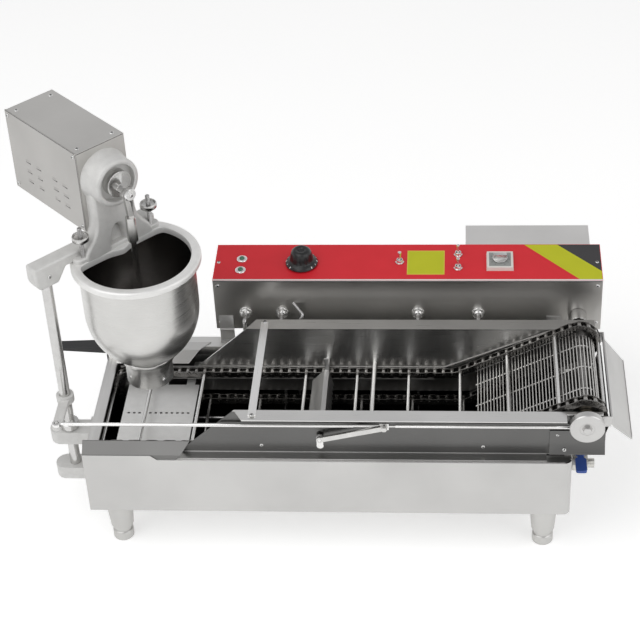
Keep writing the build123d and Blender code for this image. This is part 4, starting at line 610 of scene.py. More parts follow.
# Rim strip: the deck's lip at the infeed end, in the basin's own brushed sheet, turned in over the
# pan with a small hem.
rim_outline = np.array([
    (-421.2, 222.0), (-410.6, 222.0), (-409.5, 221.6), (-409.0, 220.6), (-409.0, 218.8),
    (-410.2, 218.8), (-410.6, 220.0), (-411.2, 220.5), (-421.2, 220.5),
])
made("rim_strip", prisms(rim_outline[None], 22.0, 298.0), basin_steel, "tank")

# Flights: bright cross rods that push the donuts along, cut from drawn stainless rod and fixed between
# the two chains at every sixth pin.
rod_steel = plain_metal("rod_steel", (0.76, 0.755, 0.745), (0.84, 0.835, 0.825), 0.20, 900.0, 0.03)
flight_count = 20
flight_x, flight_z = loop_points(first_pin + link_pitch * (1 + 3 * np.arange(flight_count)))
flight_rods = prisms(round_outlines(flight_x, flight_z, 3.4, 16), 45.6, 238.4)
stand_in("flights", "flight_rods", flight_rods, rod_steel)

# Drain grille: fine cross wires up the climb and round the drive end, welded on three long wires
# that follow the same curve underneath.
wire_lift = -8.0
curl_turn = 125.0


def climb_points(s, lift):
    """X and Z at s up the climb and lift off its pitch line, then round the drive wheel past the top."""
    on_slope = s <= climb_run
    turn = pi / 2 + climb - (s - climb_run) / (wheel_radius + lift)
    slope_x = climb_x + s * cos(climb) - lift * sin(climb)
    slope_z = chain_z + s * sin(climb) + lift * cos(climb)
    curl_x = drive_at[0] + (wheel_radius + lift) * np.cos(turn)
    curl_z = drive_at[1] + (wheel_radius + lift) * np.sin(turn)
    return np.where(on_slope, slope_x, curl_x), np.where(on_slope, slope_z, curl_z)


def bent_strip(upper, lower, near_y, far_y):
    """Closed bent strip between two lines in X and Z, with cheeks of quads at two depths."""
    outline = np.concatenate([upper, lower[::-1]])
    walls, caps = prisms(outline[None], near_y, far_y)
    total = len(outline)
    step = np.arange(len(upper) - 1)
    cheek = np.stack([step, total - 1 - step, total - 2 - step, step + 1], -1)
    return [walls, (caps[0], np.concatenate([cheek, cheek[:, ::-1] + total]))]


wire_radius = 1.25
wire_gap = 6.3
grille_start = 42.25
grille_end = climb_run + radians(curl_turn) * (wheel_radius + wire_lift)
cross_x, cross_z = climb_points(np.arange(grille_start, grille_end, wire_gap), wire_lift)
on_curl = cross_x > climb_x + climb_run * cos(climb) + 6.0
wire_steel = plain_metal("wire_steel", (0.66, 0.65, 0.63), (0.76, 0.75, 0.73), 0.22, 900.0, 0.03)
wires = round_outlines(cross_x, cross_z, wire_radius, 8)
grille_shapes = prisms(wires[~on_curl], 47.0, 237.0) + prisms(wires[on_curl], 55.0, 229.0)
long_s = np.linspace(grille_start - 5.0, grille_end + 3.0, 72)
long_top = np.stack(climb_points(long_s, wire_lift - 1.6), -1)
long_low = np.stack(climb_points(long_s, wire_lift - 4.6), -1)
for long_y in (82.0, 142.0, 202.0):
    grille_shapes += bent_strip(long_top, long_low, long_y - 1.5, long_y + 1.5)
stand_in("drain_grille", "grille_wires", grille_shapes, wire_steel, sharp=50.0)

# Chute and drop plate: plain brushed sheet at the two ends of the conveyor. A near-black sheet under
# the drive end, painted shade behind the grille's curl, runs from the tank's rim up to the back of the
# chute.
chute = eased("chute", 0.3, casing_steel)
lip_length = 0.008
lip_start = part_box("chute")[1][0] - lip_length
lip_share = 0.9


def lip_drawn_in(points):
    """What stands past the lip's start along X, drawn back by lip_share of it."""
    return points - np.maximum(points - lip_start, 0.0) * [lip_share, 0.0, 0.0]


reshaped(chute, lip_drawn_in)
drop_steel = plain_metal("drop_steel", (0.80, 0.795, 0.78), (0.86, 0.855, 0.84), 0.40, 900.0, 0.03, 0.45)
eased("drop_plate", 0.4, drop_steel)
# Painted shade: the sheet's near-black tone stands for the shade behind the grille's curl.
shade_sheet_steel = brushed("shade_sheet_steel", (0.10, 0.096, 0.09), cross_grain, rough=0.34)
shade_sheet_line = np.array([(427.0, 224.4), (472.0, 230.0), (477.0, 234.0), (491.0, 286.0)])
shade_sheet_shapes = bent_strip(shade_sheet_line, shade_sheet_line + np.array([0.4, -1.2]), 28.0, 256.0)
made("shade_sheet", shade_sheet_shapes, shade_sheet_steel, "tank")


# Drive and idler shafts with their sprockets, and the crank disc with its hex bolt. The disc is
# faced on a lathe, so its grain runs in rings.
def drive_axle(y, below=0.0):
    """Point at depth y on the drive shaft's axis, or this far below it."""
    return np.array([drive_at[0], y, drive_at[1] - below])


wheel_steel = plain_metal("wheel_steel", (0.20, 0.195, 0.19), (0.44, 0.43, 0.42), 0.30)
eased("drive_shaft", 0.5, wheel_steel, sharp=34.0)
eased("idler_shaft", 0.5, wheel_steel, sharp=34.0)
bright_steel = plain_metal("bright_steel", (0.54, 0.535, 0.525), (0.62, 0.615, 0.605), 0.20, 900.0, 0.02)
sleeve_profile = [(16.4, 0.0), (17.0, 0.5), (17.1, 1.0), (17.1, 27.2), (17.0, 27.7), (16.4, 28.2)]
sleeve = spun(sleeve_profile, drive_axle(291.2), (0, 1, 0), 48, True)
made("drive_sleeve", [sleeve], bright_steel, "conveyor_drive")


def turned_steel(name, middle, axis, colour, rough, rings=900.0):
    """Lathe-faced steel: bands by distance from an axis through middle, which is in metres."""
    paint, add, spot = new_paint(name)

    def vector(kind, first, second):
        """Vector sum, product or measure of two vectors."""
        return add("VectorMath", {0: first, 1: tuple(second)}, operation=kind).outputs

    shifted = vector("SUBTRACT", spot, middle)[0]
    across = vector("CROSS_PRODUCT", shifted, axis)[0]
    radius = add("VectorMath", {0: across}, operation="LENGTH").outputs["Value"]
    along = vector("DOT_PRODUCT", shifted, axis)["Value"]
    bands = noise(add, add("CombineXYZ", {0: radius, 1: along}).outputs[0], rings, 4.0)
    tone = streaked(add, colour, bands, 0.94, 1.05, noise(add, spot, 14.0, 2.0), 0.94)
    surface(add, tone, bands, (rough - 0.02, rough + 0.03), 0.02, 0.0001, {"Metallic": 1.0})
    return paint


disc_middle = place(drive_axle(0.0))
disc_steel = turned_steel("disc_steel", disc_middle, (0, 1, 0), (0.56, 0.555, 0.545), rough=0.3)
crank_throw = 13.0
disc_back = 10.0
disc_profile = [
    (0.0, 0.0), (28.4, 0.0), (30.0, 1.2), (30.0, 12.6), (28.6, 14.0), (13.0, 14.0), (12.4, 13.4),
    (0.0, 13.4),
]
bolt_profile = [(0.0, 13.0), (9.0, 13.0), (9.0, 14.8), (7.6, 14.8), (7.6, 19.0), (6.6, 20.0), (0.0, 20.0)]
pin_profile = [(0.0, 0.0), (4.0, 0.0), (4.0, -4.0), (0.0, -4.0)]
disc_shapes = [
    spun(disc_profile, drive_axle(disc_back), (0, -1, 0), 72),
    spun(bolt_profile, drive_axle(disc_back), (0, -1, 0), 6),
    spun(pin_profile, drive_axle(disc_back, crank_throw), (0, -1, 0), 20),
]
stand_in("crank_disc", "crank_disc_turned", disc_shapes, disc_steel)

# Turner: a roofed tray in thin sheet with a comb edge, on a ground shaft, and the flat polished link
# that works it from the rod.
tray_steel = brushed("tray_steel", (0.56, 0.555, 0.545), (1300.0, 16.0, 1300.0), rough=0.32)
eased("flipper_tray", 0.3, tray_steel)
eased("flipper_shaft", 0.5, rod_steel, sharp=34.0)
link_steel = plain_metal("link_steel", (0.56, 0.555, 0.54), (0.68, 0.675, 0.66), 0.28, 900.0, 0.03)
eased("flipper_link", 0.7, link_steel, sharp=34.0)
screws("turner_screw", [(-8.0, 14.2, 263.0)], (0, -1, 0), 4.4, "flipper_link")

# Link rod: a long bright rod with an eye at each end and a clamp block for the turner's link.
# Each straight run carries a ground skin that ends short of the eyes and of the clamp.
eased("link_rod", 0.5, rod_steel, sharp=48.0)
rod_foot = (0.0, 17.5, drive_at[1] - crank_throw)
rod_shapes = []
for start, stop in ((-458.0, 52.0), (124.0, 430.0)):
    rod_profile = [
        (0.0, start), (2.6, start), (3.2, start + 0.8), (3.2, stop - 0.8), (2.6, stop), (0.0, stop),
    ]
    rod_shapes.append(spun(rod_profile, rod_foot, (1, 0, 0), 24))
made("rod_skin", rod_shapes, rod_steel, body_of["link_rod"])

# Column: a ground steel bar that turns in the bracket's ears, with a thrust collar above the upper ear
# and the cast rocker clamped on it.
column_foot = np.array([-470.0, 100.0, 0.0])
column_profile = [
    (0.0, 106.0), (9.4, 106.0), (10.0, 106.6), (10.0, 215.4), (16.2, 215.4), (17.0, 216.2), (17.0, 228.5),
    (16.2, 229.3), (10.0, 229.3), (10.0, 571.9), (0.0, 571.9),
]
stand_in("column", "column_bar", [spun(column_profile, column_foot)], bright_steel)
eased("rocker_arm", 1.2, cast_alloy, sharp=34.0, rounds=3)

# Hopper arm: a cast bar clamped on the column's top by one screw. It reaches over the hopper's ring
# under the head.
head_spot = np.array([-320.0, 146.0, 0.0])
u_way = np.array([cos(radians(-45)), sin(radians(-45)), 0.0])
v_way = np.array([-u_way[1], u_way[0], 0.0])
up_way = np.array([0.0, 0.0, 1.0])


def head(u, v, z):
    """Point in the head's own axes: u to the front right, v to the rear right, z up."""
    return head_spot + u * u_way + v * v_way + z * up_way


def carried(outline, rows, first, second, along):
    """Closed outline on the axes first and second, carried along by rows of (distance, inset): each row is
    moved in from the outline along its normal, and the two end rows are closed by flat caps."""
    shape = np.asarray(outline, float)
    ahead = unit(np.roll(shape, -1, 0) - shape)
    step = unit(ahead + np.roll(ahead, 1, 0))
    normal = np.stack([step[:, 1], -step[:, 0]], -1)
    far, inset = np.asarray(rows, float).T
    flat = shape[None] - inset[:, None, None] * normal[None]
    return capped(head_spot + flat[..., :1] * first + flat[..., 1:] * second + far[:, None, None] * along)


column_v = (column_foot - head_spot) @ v_way
arm_u = (column_foot - head_spot) @ u_way
arm_outline = [
    (column_v - 27.0, 580.0), (88.0, 580.0), (88.0, 560.0), (-103.0, 560.0),
    (column_v + 18.0, 535.0), (column_v - 20.0, 535.0), (column_v - 27.0, 549.0),
]
arm_rows = [(arm_u - 15.0, 0.0), (arm_u + 15.0, 0.0)]
arm_shapes = carried(arm_outline, arm_rows, v_way, up_way, u_way)
rounded(stand_in("support_arm", "hopper_arm", arm_shapes, cast_alloy), 4.2, 24.0, 4)
screws("arm_screw", [head(arm_u + 15.0, column_v, 556.0)], u_way, 4.0, "depositor")

# Studs and thumb nuts: threaded studs screwed into the ring, each with a turned cup nut whose rim
# is knurled for the fingers.
stud_u = -51.0
stud_v = 72.0
stud_turns = np.arange(0.0, 67.0, 0.6)
stud_profile = [(0.0, 0.0)] + [(3.75 + 0.25 * (k % 2), h) for k, h in enumerate(stud_turns)]
stud_profile += [(3.2, 67.4), (0.0, 67.8)]
stud_steel = plain_metal("stud_steel", (0.36, 0.355, 0.35), (0.58, 0.575, 0.57), 0.28)
studs = [spun(stud_profile, head(stud_u, v, 560.0), sides=20) for v in (-stud_v, stud_v)]
stand_in("hopper_ring", "ring_studs", studs, stud_steel)
nut_profile = [
    (4.2, 0.0), (8.6, 0.0), (9.0, 0.6), (9.0, 3.4), (13.6, 4.4), (15.0, 5.6), (15.0, 12.6), (14.0, 14.0),
    (12.6, 14.0), (11.6, 10.6), (8.0, 9.2), (4.2, 9.0),
]


def nut_knurl(angle, height):
    """Fine teeth round the cup's rim."""
    return np.where((height > 5.0) & (height < 13.0), -0.4 * np.abs(np.sin(24 * angle)), 0.0)


for nut_name, v in (("thumb_nut_left", -stud_v), ("thumb_nut_right", stud_v)):
    cup = spun(nut_profile, head(stud_u, v, 598.0), up_way, 144, True, nut_knurl)
    stand_in(nut_name, nut_name + "_cup", [cup], bright_steel, sharp=46.0)

# Hopper: a thick cast ring with a D-shaped mouth, a spun bowl welded under it and a turned neck
# in which the piston runs. The bowl's grain goes round it in fine rings.
mouth_radius = 96.0
chord_reach = 42.0
bump_reach = 8.0
bump_half = 20.0
mouth_blend = 6.0


def mouth(angle):
    """Distance from the axis to the ring's inner edge: a circle cut at the back by a chord, which has a
    bell-shaped bump in its middle. A soft minimum joins the two over about mouth_blend mm."""
    bump = bump_reach * np.exp(-((np.tan(angle) * chord_reach / bump_half) ** 2))
    chord = (chord_reach - bump) / np.maximum(-np.cos(angle), 1e-6)
    both = np.stack([np.full_like(angle, mouth_radius), np.where(np.cos(angle) < 0, chord, 1e6)])
    return -mouth_blend * np.log(np.exp(-both / mouth_blend).sum(0))


ring_angle = np.linspace(0, 2 * pi, 160, endpoint=False)
ring_in = mouth(ring_angle)
ring_out = np.full_like(ring_in, 113.0)
ring_rows = [
    (ring_out - 1.2, 548.0), (ring_out, 549.2), (ring_out, 555.0), (ring_out - 0.8, 557.6),
    (ring_out - 2.4, 559.3), (ring_out - 4.6, 560.0), (ring_in + 3.2, 560.0), (ring_in + 1.0, 559.2),
    (ring_in, 557.0), (ring_in, 548.0),
]
ring_radius = np.stack([r for r, _ in ring_rows], -1)
ring_height = np.array([h for _, h in ring_rows])
ring_way = np.cos(ring_angle)[:, None] * u_way + np.sin(ring_angle)[:, None] * v_way
ring_points = head_spot + ring_radius[..., None] * ring_way[:, None] + ring_height[:, None] * up_way
ring_steel = plain_metal("ring_steel", (0.82, 0.815, 0.80), (0.90, 0.895, 0.88), 0.42, 900.0, 0.06, 0.45)
ring_faces = quads(len(ring_angle), len(ring_rows), True, True)
stand_in("hopper_ring", "hopper_rim", [(ring_points.reshape(-1, 3), ring_faces)], ring_steel)
axis_foot = place(head_spot)
bowl_steel = turned_steel("bowl_steel", axis_foot, up_way, (0.60, 0.595, 0.58), 0.28, rings=2400.0)
# Painted shade: the bowl's inner skin takes a darker copy of the bowl's steel, 0.30 against 0.60.
bowl_inside_shade_steel = turned_steel("bowl_inside_shade_steel", axis_foot, up_way, (0.30, 0.29, 0.28), 0.24, rings=2400.0)
fall = np.linspace(0.0, 1.0, 26)
bowl_radius = 101.0
round_in = bowl_radius - 44.0
round_down = 105.0
round_radius = (round_in**2 + round_down**2) / (2 * round_in)
round_turn = np.arcsin(round_down / round_radius) * fall
wall_r = np.concatenate([[bowl_radius], bowl_radius - round_radius * (1 - np.cos(round_turn))])
wall_z = np.concatenate([[547.9], 456.0 - round_radius * np.sin(round_turn)])


def bowl_skin(outside, inside):
    """Closed skin of the bowl, between two distances in from the outer wall."""
    outer = np.stack([wall_r - outside, wall_z], -1)
    inner = np.stack([wall_r[::-1] - inside, wall_z[::-1]], -1)
    return [spun(np.concatenate([outer, inner]), head_spot, sides=128, closed=True)]


stand_in("hopper_bowl", "bowl_shell", bowl_skin(0.0, 0.7), bowl_steel)
# The inner skin, in painted shade.
stand_in("hopper_bowl", "bowl_inner_skin", bowl_skin(0.75, 1.5), bowl_inside_shade_steel)
neck_profile = [
    (39.2, 298.0), (41.4, 298.0), (42.0, 298.8), (42.0, 338.0), (43.2, 340.6), (46.4, 341.2), (47.0, 342.0),
    (47.0, 350.2), (46.2, 351.0), (39.2, 351.0),
]
neck = spun(neck_profile, head_spot, sides=96, closed=True)
stand_in("hopper_neck", "neck_tube", [neck], bowl_steel)
screws("neck_screws", [head(42.0, 0.0, 312.0)], u_way, 3.0, "depositor")
screws("neck_screw_left", [head(0.0, -42.0, 318.0)], -v_way, 3.0, "depositor")

# Head: one casting whose round boss flows down a broad pillar with an arched recess into a long, low
# foot with an ear round each stud. The pillar's half-width is the boss's plus a flare that follows
# a smooth step, nearly full at the foot's top and gone halfway up to the boss.
pillar_foot = 548.5
boss_half = 41.0
flare = 34.0
flare_z = 588.0
flare_step = 10.0
pillar_z = np.concatenate([[pillar_foot], np.linspace(560.0, 688.0, 41), [700.0]])
pillar_half = boss_half + flare / (1.0 + np.exp((pillar_z - flare_z) / flare_step))
arch_half = 16.0
arch_rise = 57.5
arch = np.linspace(0, pi, 17)
pillar_outline = np.concatenate([
    np.stack([pillar_half, pillar_z], -1),
    np.stack([-pillar_half, pillar_z], -1)[::-1],
    np.stack([-arch_half * np.cos(arch), pillar_foot + arch_rise * np.sin(arch)], -1),
])
pillar_rows = [(-66.0, 0.0), (-49.0, 0.0), (-45.6, 1.0), (-43.2, 3.0), (-42.4, 5.4), (-42.4, 6.6)]
recess_outline = [(24.0, 561.0), (24.0, 596.0), (-24.0, 596.0), (-24.0, 561.0)]
recess_rows = [(-63.0, 0.0), (-57.0, 0.0)]
ear = np.linspace(-pi / 2, pi / 2, 15)
ear_u = -55.0
ear_v = 79.0
ear_radius = 11.0
foot_outline = np.concatenate([
    np.stack([ear_u - ear_radius * np.sin(ear), ear_v + ear_radius * np.cos(ear)], -1),
    np.stack([ear_u + ear_radius * np.sin(ear), -ear_v - ear_radius * np.cos(ear)], -1),
])
foot_rows = [(560.2, 0.0), (565.0, 0.0), (566.8, 0.6), (567.8, 1.6), (568.2, 3.0), (568.2, 4.0)]
boss_profile = [
    (10.2, -66.0), (48.0, -66.0), (45.6, -58.0), (44.2, -48.0), (43.8, -29.0), (42.8, -26.0), (40.4, -24.2),
    (36.6, -24.0), (34.8, -24.8), (34.0, -26.6), (34.0, -36.8), (10.2, -36.8),
]
head_shapes = carried(pillar_outline, pillar_rows, v_way, up_way, u_way)
head_shapes += carried(recess_outline, recess_rows, v_way, up_way, u_way)
head_shapes += carried(foot_outline, foot_rows, u_way, v_way, up_way)
head_shapes += [spun(boss_profile, head(0.0, 0.0, 696.0), u_way, 96, True)]
stand_in("head_casting", "head_body", head_shapes, cast_alloy)

# Crank and plunger: a bright disc with an offset pin in the boss's recess, and a link with a round
# cap on that pin, whose rod goes down the hopper to the piston.
eased("crank_hub", 0.8, bright_steel, sharp=34.0)
eased("plunger", 0.6, bright_steel, sharp=34.0)
cap_profile = [(0.0, -0.4), (11.0, -0.4), (11.0, 2.4), (9.8, 3.6), (0.0, 3.6)]
pin_cap = spun(cap_profile, head(7.3, 0.0, 688.0), u_way, 40)
made("crank_pin_cap", [pin_cap], rod_steel, "plunger")
screws("crank_cap_screw", [head(11.2, 0.0, 688.0)], u_way, 3.6, "plunger")

# Motor box: a folded box with a screwed-on side panel, whose vent slots each have a small pressed
# hood that is open along its lower edge.
box_steel = brushed("box_steel", (0.60, 0.59, 0.57), sheet_grain, rough=0.36, turn=radians(45))
upright = (1500.0, 1500.0, 14.0)
panel_steel = brushed("panel_steel", (0.47, 0.46, 0.445), upright, rough=0.40, turn=radians(45))
motor_shell = eased("motor_box", 0.8, box_steel)
cover_step = 0.0013
cover_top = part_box("motor_box")[1][2] - cover_step
reshaped(motor_shell, lambda points: np.minimum(points, [np.inf, np.inf, cover_top]))
eased("motor_side_panel", 0.6, panel_steel)
side_v = -50.0


def hoods(spots, half, tall, bulge, wall):
    """Pressed hoods on the side panel: the bulge grows as a sine from top edge to lower edge and fades as
    an ellipse towards both ends; an inner skin a wall's thickness behind closes each one."""
    across = np.linspace(-1.0, 1.0, 13)
    down = np.linspace(0.0, 1.0, 7)
    out = bulge * np.sqrt(1.0 - across**2)[:, None] * np.sin(down * pi / 2)[None, :]
    both = np.concatenate([out, out[:, ::-1] - wall], 1)
    drop = np.concatenate([down, down[::-1]])
    shapes = []
    for u, z in spots:
        points = head(u, side_v, z) + half * across[:, None, None] * u_way
        points = points - both[..., None] * v_way + (0.8 + tall * (1.0 - drop))[None, :, None] * up_way
        shapes += capped(points)
    return shapes


hood_spots = [(u, z) for u in (-225.0, -193.0, -144.0, -114.0) for z in (632.0, 652.0, 672.0)]
hood_shapes = hoods(hood_spots, 7.6, 3.8, 1.2, 0.4)
made("vent_hoods", hood_shapes, panel_steel, "depositor")
# Painted shade: thin near-black strips along the side panel's top and front edges and the box's top-front
# edge stand for the shadow in the seams.
seams = [
    slab(head(-172.0, side_v - 0.02, 755.8), u_way, up_way, (207.0, 1.0), 0.12),
    slab(head(-67.0, side_v - 0.02, 679.0), u_way, up_way, (1.0, 150.0), 0.12),
    slab(head(-65.98, 0.0, 754.4), v_way, up_way, (97.0, 1.0), 0.12),
]
made("box_seam_shade", seams, slot_shade, "depositor")
motor_grey = plain_metal("motor_grey", (0.10, 0.10, 0.10), (0.20, 0.20, 0.20), 0.45)
eased("head_motor", 0.8, motor_grey)
top_spots = [head(u, v, 755.05) for u in (-262.0, -80.0) for v in (-36.0, 36.0)]
side_spots = [head(u, side_v, z) for u in (-270.0, -74.0) for z in (610.0, 748.0)]
screws("box_top_screws", top_spots, up_way, 4.2, "depositor")
screws("box_side_screws", side_spots, -v_way, 3.6, "depositor")

# Control box: a folded body carrying the sloped panel, with the motor housing behind it and
# hinged feet below. Screws hold its end plates.
control_steel = brushed("control_steel", (0.42, 0.41, 0.395), sheet_grain, rough=0.32)
eased("control_box", 0.8, control_steel)
housing_steel = brushed("housing_steel", (0.76, 0.75, 0.735), sheet_grain, rough=0.34)
eased("motor_housing", 0.8, housing_steel)
eased("box_mounts", 0.5, casing_steel, sharp=46.0)
box_front = 320.0
end_spots = [(x, box_front, z) for x in (-212.0, 486.0) for z in (288.0, 371.0)]
screws("box_end_screws", end_spots, (0, -1, 0), 3.8, "tank")

# Panel: a printed sheet in red with a blank yellow-green label, a slanted stripe of the same
# colour, a near-black corner and a white edge along the front.
slope = atan2(6.0, 107.0)
panel_up = np.array([0.0, -sin(slope), cos(slope)])
panel_way = np.array([0.0, cos(slope), sin(slope)])
panel_z = 382.0
panel_thick = 1.5


def on_panel(x, d, h=0.0):
    """Point on the panel's top face: x along it, d up its slope from the front, h above it."""
    return np.array([x, box_front, panel_z]) + d * panel_way + (h + panel_thick) * panel_up


def film(corners, lift):
    """Thin printed patch through corners (x, d), its underside on the panel and its top at lift."""
    return capped(np.array([[on_panel(x, d, h) for x, d in corners] for h in (0.02, lift)]))


panel_red = moulded("panel_red", (0.70, 0.011, 0.022), (0.78, 0.016, 0.030), 0.52)
print_yellow = moulded("print_yellow", (0.52, 0.54, 0.004), (0.60, 0.62, 0.008), 0.52)
border_yellow = moulded("border_yellow", (0.66, 0.60, 0.06), (0.74, 0.68, 0.09), 0.52)
print_black = moulded("print_black", (0.030, 0.028, 0.030), (0.042, 0.040, 0.042), 0.52)
print_white = moulded("print_white", (0.80, 0.80, 0.79), (0.88, 0.88, 0.87), 0.36)
eased("control_panel", 0.3, panel_red)
border_corners = [(138, 17), (207, 17), (207, 88), (138, 88)]
label_corners = [(139.6, 19), (205.4, 19), (205.4, 86), (139.6, 86)]
made("panel_label_border", film(border_corners, 0.10), border_yellow, "tank")
made("panel_label", film(label_corners, 0.16), print_yellow, "tank")
# Painted shade: a thin near-black strip under the panel's front edge stands for the shadow in the gap
# between panel and box.
gap_shade_strip = slab((137.0, box_front, 380.7), (1, 0, 0), (0, 0, 1), (714.0, 1.8), 0.5)
made("panel_gap_shade", [gap_shade_strip], black_plastic, "tank")
stripe_corners = [(453, 3.2), (494, 3.2), (494, 27), (416, 106), (355, 106)]
edge_corners = [(-220.5, 0.3), (494.5, 0.3), (494.5, 3.1), (-220.5, 3.1)]
made("panel_stripe", film(stripe_corners, 0.12), print_yellow, "tank")
made("panel_corner", film([(494, 27), (494, 106), (416, 106)], 0.12), print_black, "tank")
front_edge = slab((137.0, box_front - 0.05, panel_z + 0.2), (1, 0, 0), (0, 0, 1), (714.6, 2.0), 0.3)
made("panel_edge", film(edge_corners, 0.16) + [front_edge], print_white, "tank")
screws("panel_screws", [on_panel(x, 53.0) for x in (-214.0, 487.0)], panel_up, 3.4, "tank")

# Indicator lamps: domed lenses in green plastic, each pushed through the panel in a wide bright
# metal bezel.
lens_green = moulded("lens_green", (0.010, 0.110, 0.050), (0.020, 0.190, 0.090), 0.12, bump=0.02, coat=0.8)
bezel_profile = [(5.0, 0.0), (10.2, 0.0), (10.2, 1.6), (9.2, 2.9), (6.6, 3.6), (5.0, 3.2)]
lens_profile = [(0.0, 0.2), (5.0, 0.2), (5.0, 3.0), (4.6, 4.6), (3.4, 6.0), (1.8, 6.8), (0.0, 7.0)]
lamp_spots = [(-171.0, 62.0), (-171.0, 29.0)]
bezels = [spun(bezel_profile, on_panel(*spot), panel_up, 40, True) for spot in lamp_spots]
made("lamp_bezels", bezels, rod_steel, "tank")
lenses = [spun(lens_profile, on_panel(*spot), panel_up, 28) for spot in lamp_spots]
stand_in("indicator_lamps", "lamp_lenses", lenses, lens_green)

# Thermostat knob: black moulded skirt with white marks, and a domed grip with a dished top and
# shallow flutes round it.
eased("panel_bushings", 0.4, rod_steel, sharp=50.0)
skirt_profile = [
    (3.4, 2.4), (29.0, 2.4), (30.0, 3.2), (29.6, 4.4), (26.4, 8.0), (22.8, 9.4), (21.6, 11.0), (20.8, 18.0),
    (19.4, 25.0), (17.6, 29.0), (15.0, 31.6), (11.6, 33.0), (8.6, 32.8), (6.8, 31.6), (5.2, 29.8),
    (0.0, 29.2), (0.0, 12.0), (3.4, 12.0),
]


def grip_flutes(angle, height):
    """Twelve shallow scallops round the grip above the skirt."""
    return np.where((height > 10.5) & (height < 27.0), -0.6 * np.cos(6 * angle) ** 4, 0.0)


knob_at = (-58.0, 50.0)
knob = spun(skirt_profile, on_panel(*knob_at), panel_up, 144, True, grip_flutes)
stand_in("thermostat_knob", "thermostat_grip", [knob], black_plastic)


def marks(x, d, h, radius, degrees, sizes, fall, thick):
    """Bars round a point of the panel, each along its own radius, with the sizes in turn; fall is how far
    a bar drops for each mm outwards."""
    shapes = []
    for k, turn in enumerate(np.radians(degrees)):
        out = sin(turn) * np.array([1.0, 0.0, 0.0]) + cos(turn) * panel_way
        middle = on_panel(x, d, h) + radius * out
        along = unit(out - fall * panel_up)
        shapes.append(slab(middle, along, np.cross(panel_up, out), sizes[k % len(sizes)], thick))
    return shapes


skirt_fall = 0.667 / 0.745
knob_degrees = -135 + 22.5 * np.arange(13)
knob_marks = marks(*knob_at, 6.35, 27.9, knob_degrees, [(4.6, 1.8), (3.2, 0.9)], skirt_fall, 0.25)
made("thermostat_marks", knob_marks, print_white, "thermostat_knob")

# Timer: a square frame in cream plastic with a grey dial, printed marks and a small bright pointer
# knob. It is held in a cut-out of the panel.
timer_plastic = moulded("timer_plastic", (0.76, 0.745, 0.70), (0.84, 0.825, 0.78), 0.40)
dial_grey = moulded("dial_grey", (0.27, 0.28, 0.27), (0.34, 0.35, 0.34), 0.44)
timer_grey = plain_metal("timer_grey", (0.62, 0.62, 0.61), (0.74, 0.74, 0.73), 0.22, 900.0, 0.03)
eased("timer_body", 0.5, timer_plastic, sharp=50.0, rounds=3)
timer_at = (309.0, 52.0)
dial_marks = marks(*timer_at, 8.25, 17.0, -150 + 30 * np.arange(11), [(3.2, 0.8)], 0.0, 0.2)
made("timer_marks", dial_marks, print_black, "tank")
dial = slab(on_panel(*timer_at, 8.05), (1, 0, 0), panel_way, (40.0, 40.0), 0.3)
made("timer_dial", [dial], dial_grey, "tank")
eased("timer_knob", 0.8, timer_grey, sharp=50.0, rounds=3)

# Toggle switches: chromed bat levers that swell towards a rounded tip. Each leans back in a threaded
# bushing that is nutted to the panel.
bat_profile = [
    (0.0, -1.8), (2.4, -1.8), (2.4, 1.6), (1.9, 2.6), (2.1, 8.0), (3.1, 15.0), (3.6, 17.6), (3.4, 19.0),
    (2.2, 19.8), (0.0, 20.0),
]
bat_lean = radians(13.0) - slope
bat_way = (0.0, sin(bat_lean), cos(bat_lean))
bat_spots = [("toggle_left", 124.0, 52.0), ("toggle_rear", 232.0, 74.0), ("toggle_front", 232.0, 34.0)]
for toggle, x, d in bat_spots:
    bat = [spun(bat_profile, on_panel(x, d, 3.0), bat_way, 24)]
    stand_in(toggle, toggle + "_bat", bat, rod_steel)


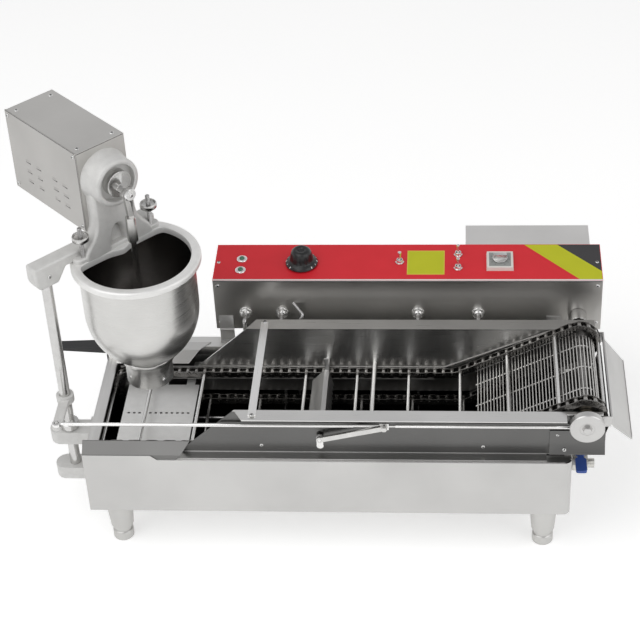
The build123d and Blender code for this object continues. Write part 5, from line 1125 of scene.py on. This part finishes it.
# Heaters and probe: bent stainless tubes that leave glands in the box front, drop behind the
# conveyor and loop over the basin floor.
def bent(route, radius, bend, sides=14, steps=6):
    """Round tube along a route whose corners are rounded by parabolas starting bend mm from each. Each ring
    stands square to the path, with one axis square to a fixed slanted direction."""
    route = np.asarray(route, float)
    way_in = bend * unit(route[:-2] - route[1:-1])
    way_out = bend * unit(route[2:] - route[1:-1])
    t = np.linspace(0, 1, steps)[None, :, None]
    turns = route[1:-1, None] + (1 - t) ** 2 * way_in[:, None] + t**2 * way_out[:, None]
    path = np.concatenate([route[:1], turns.reshape(-1, 3), route[-1:]])
    ahead = unit(np.gradient(path, axis=0))
    across = unit(np.cross(ahead, [0.62, 0.33, 0.71]))
    other = np.cross(ahead, across)
    angle = np.linspace(0, 2 * pi, sides, endpoint=False)
    ring = np.cos(angle)[None, :, None] * across[:, None] + np.sin(angle)[None, :, None] * other[:, None]
    return capped(path[:, None] + radius * ring)


gland_z = 311.0
heater_z = 128.0
tube_end = 309.0
drop_y = 291.0


def heater_route(loop):
    """Gland to gland through the level points of a loop, dropping behind the conveyor at both ends."""
    first, last = loop[0][0], loop[-1][0]
    down = [(first, tube_end, gland_z), (first, drop_y, gland_z), (first, drop_y, heater_z)]
    up = [(last, drop_y, heater_z), (last, drop_y, gland_z), (last, tube_end, gland_z)]
    return down + [(x, y, heater_z) for x, y in loop] + up


left_loop = [(-163.0, 230.0), (-391.0, 230.0), (-391.0, 70.0), (-95.0, 70.0)]
right_loop = [(158.0, 230.0), (-35.0, 230.0), (-35.0, 70.0), (377.0, 70.0), (377.0, 230.0), (269.0, 230.0)]
probe = [(-73.0, box_front, 332.0), (-54.0, 300.0, 319.0), (-68.0, 291.5, 297.0), (-68.0, 291.5, 142.0)]
tube_steel = plain_metal("tube_steel", (0.34, 0.335, 0.33), (0.56, 0.555, 0.55), 0.24)
tube_shapes = bent(heater_route(left_loop), 4.0, 9.0) + bent(heater_route(right_loop), 4.0, 9.0)
tube_shapes += bent(probe, 3.0, 5.0)
stand_in("immersion_tubes", "heater_tubes", tube_shapes, tube_steel)
gland_profile = [
    (0.0, 0.0), (12.0, 0.0), (12.0, 1.4), (10.6, 1.8), (10.6, 5.6), (8.0, 6.4), (8.0, 10.2), (7.0, 11.0),
    (0.0, 11.0),
]
gland_spots = [(x, box_front, gland_z) for x in (-163.0, -95.0, 158.0, 269.0)]
gland_nuts = [spun(gland_profile, spot, (0, -1, 0), 24) for spot in gland_spots]
stand_in("heater_glands", "heater_gland_nuts", gland_nuts, rod_steel)
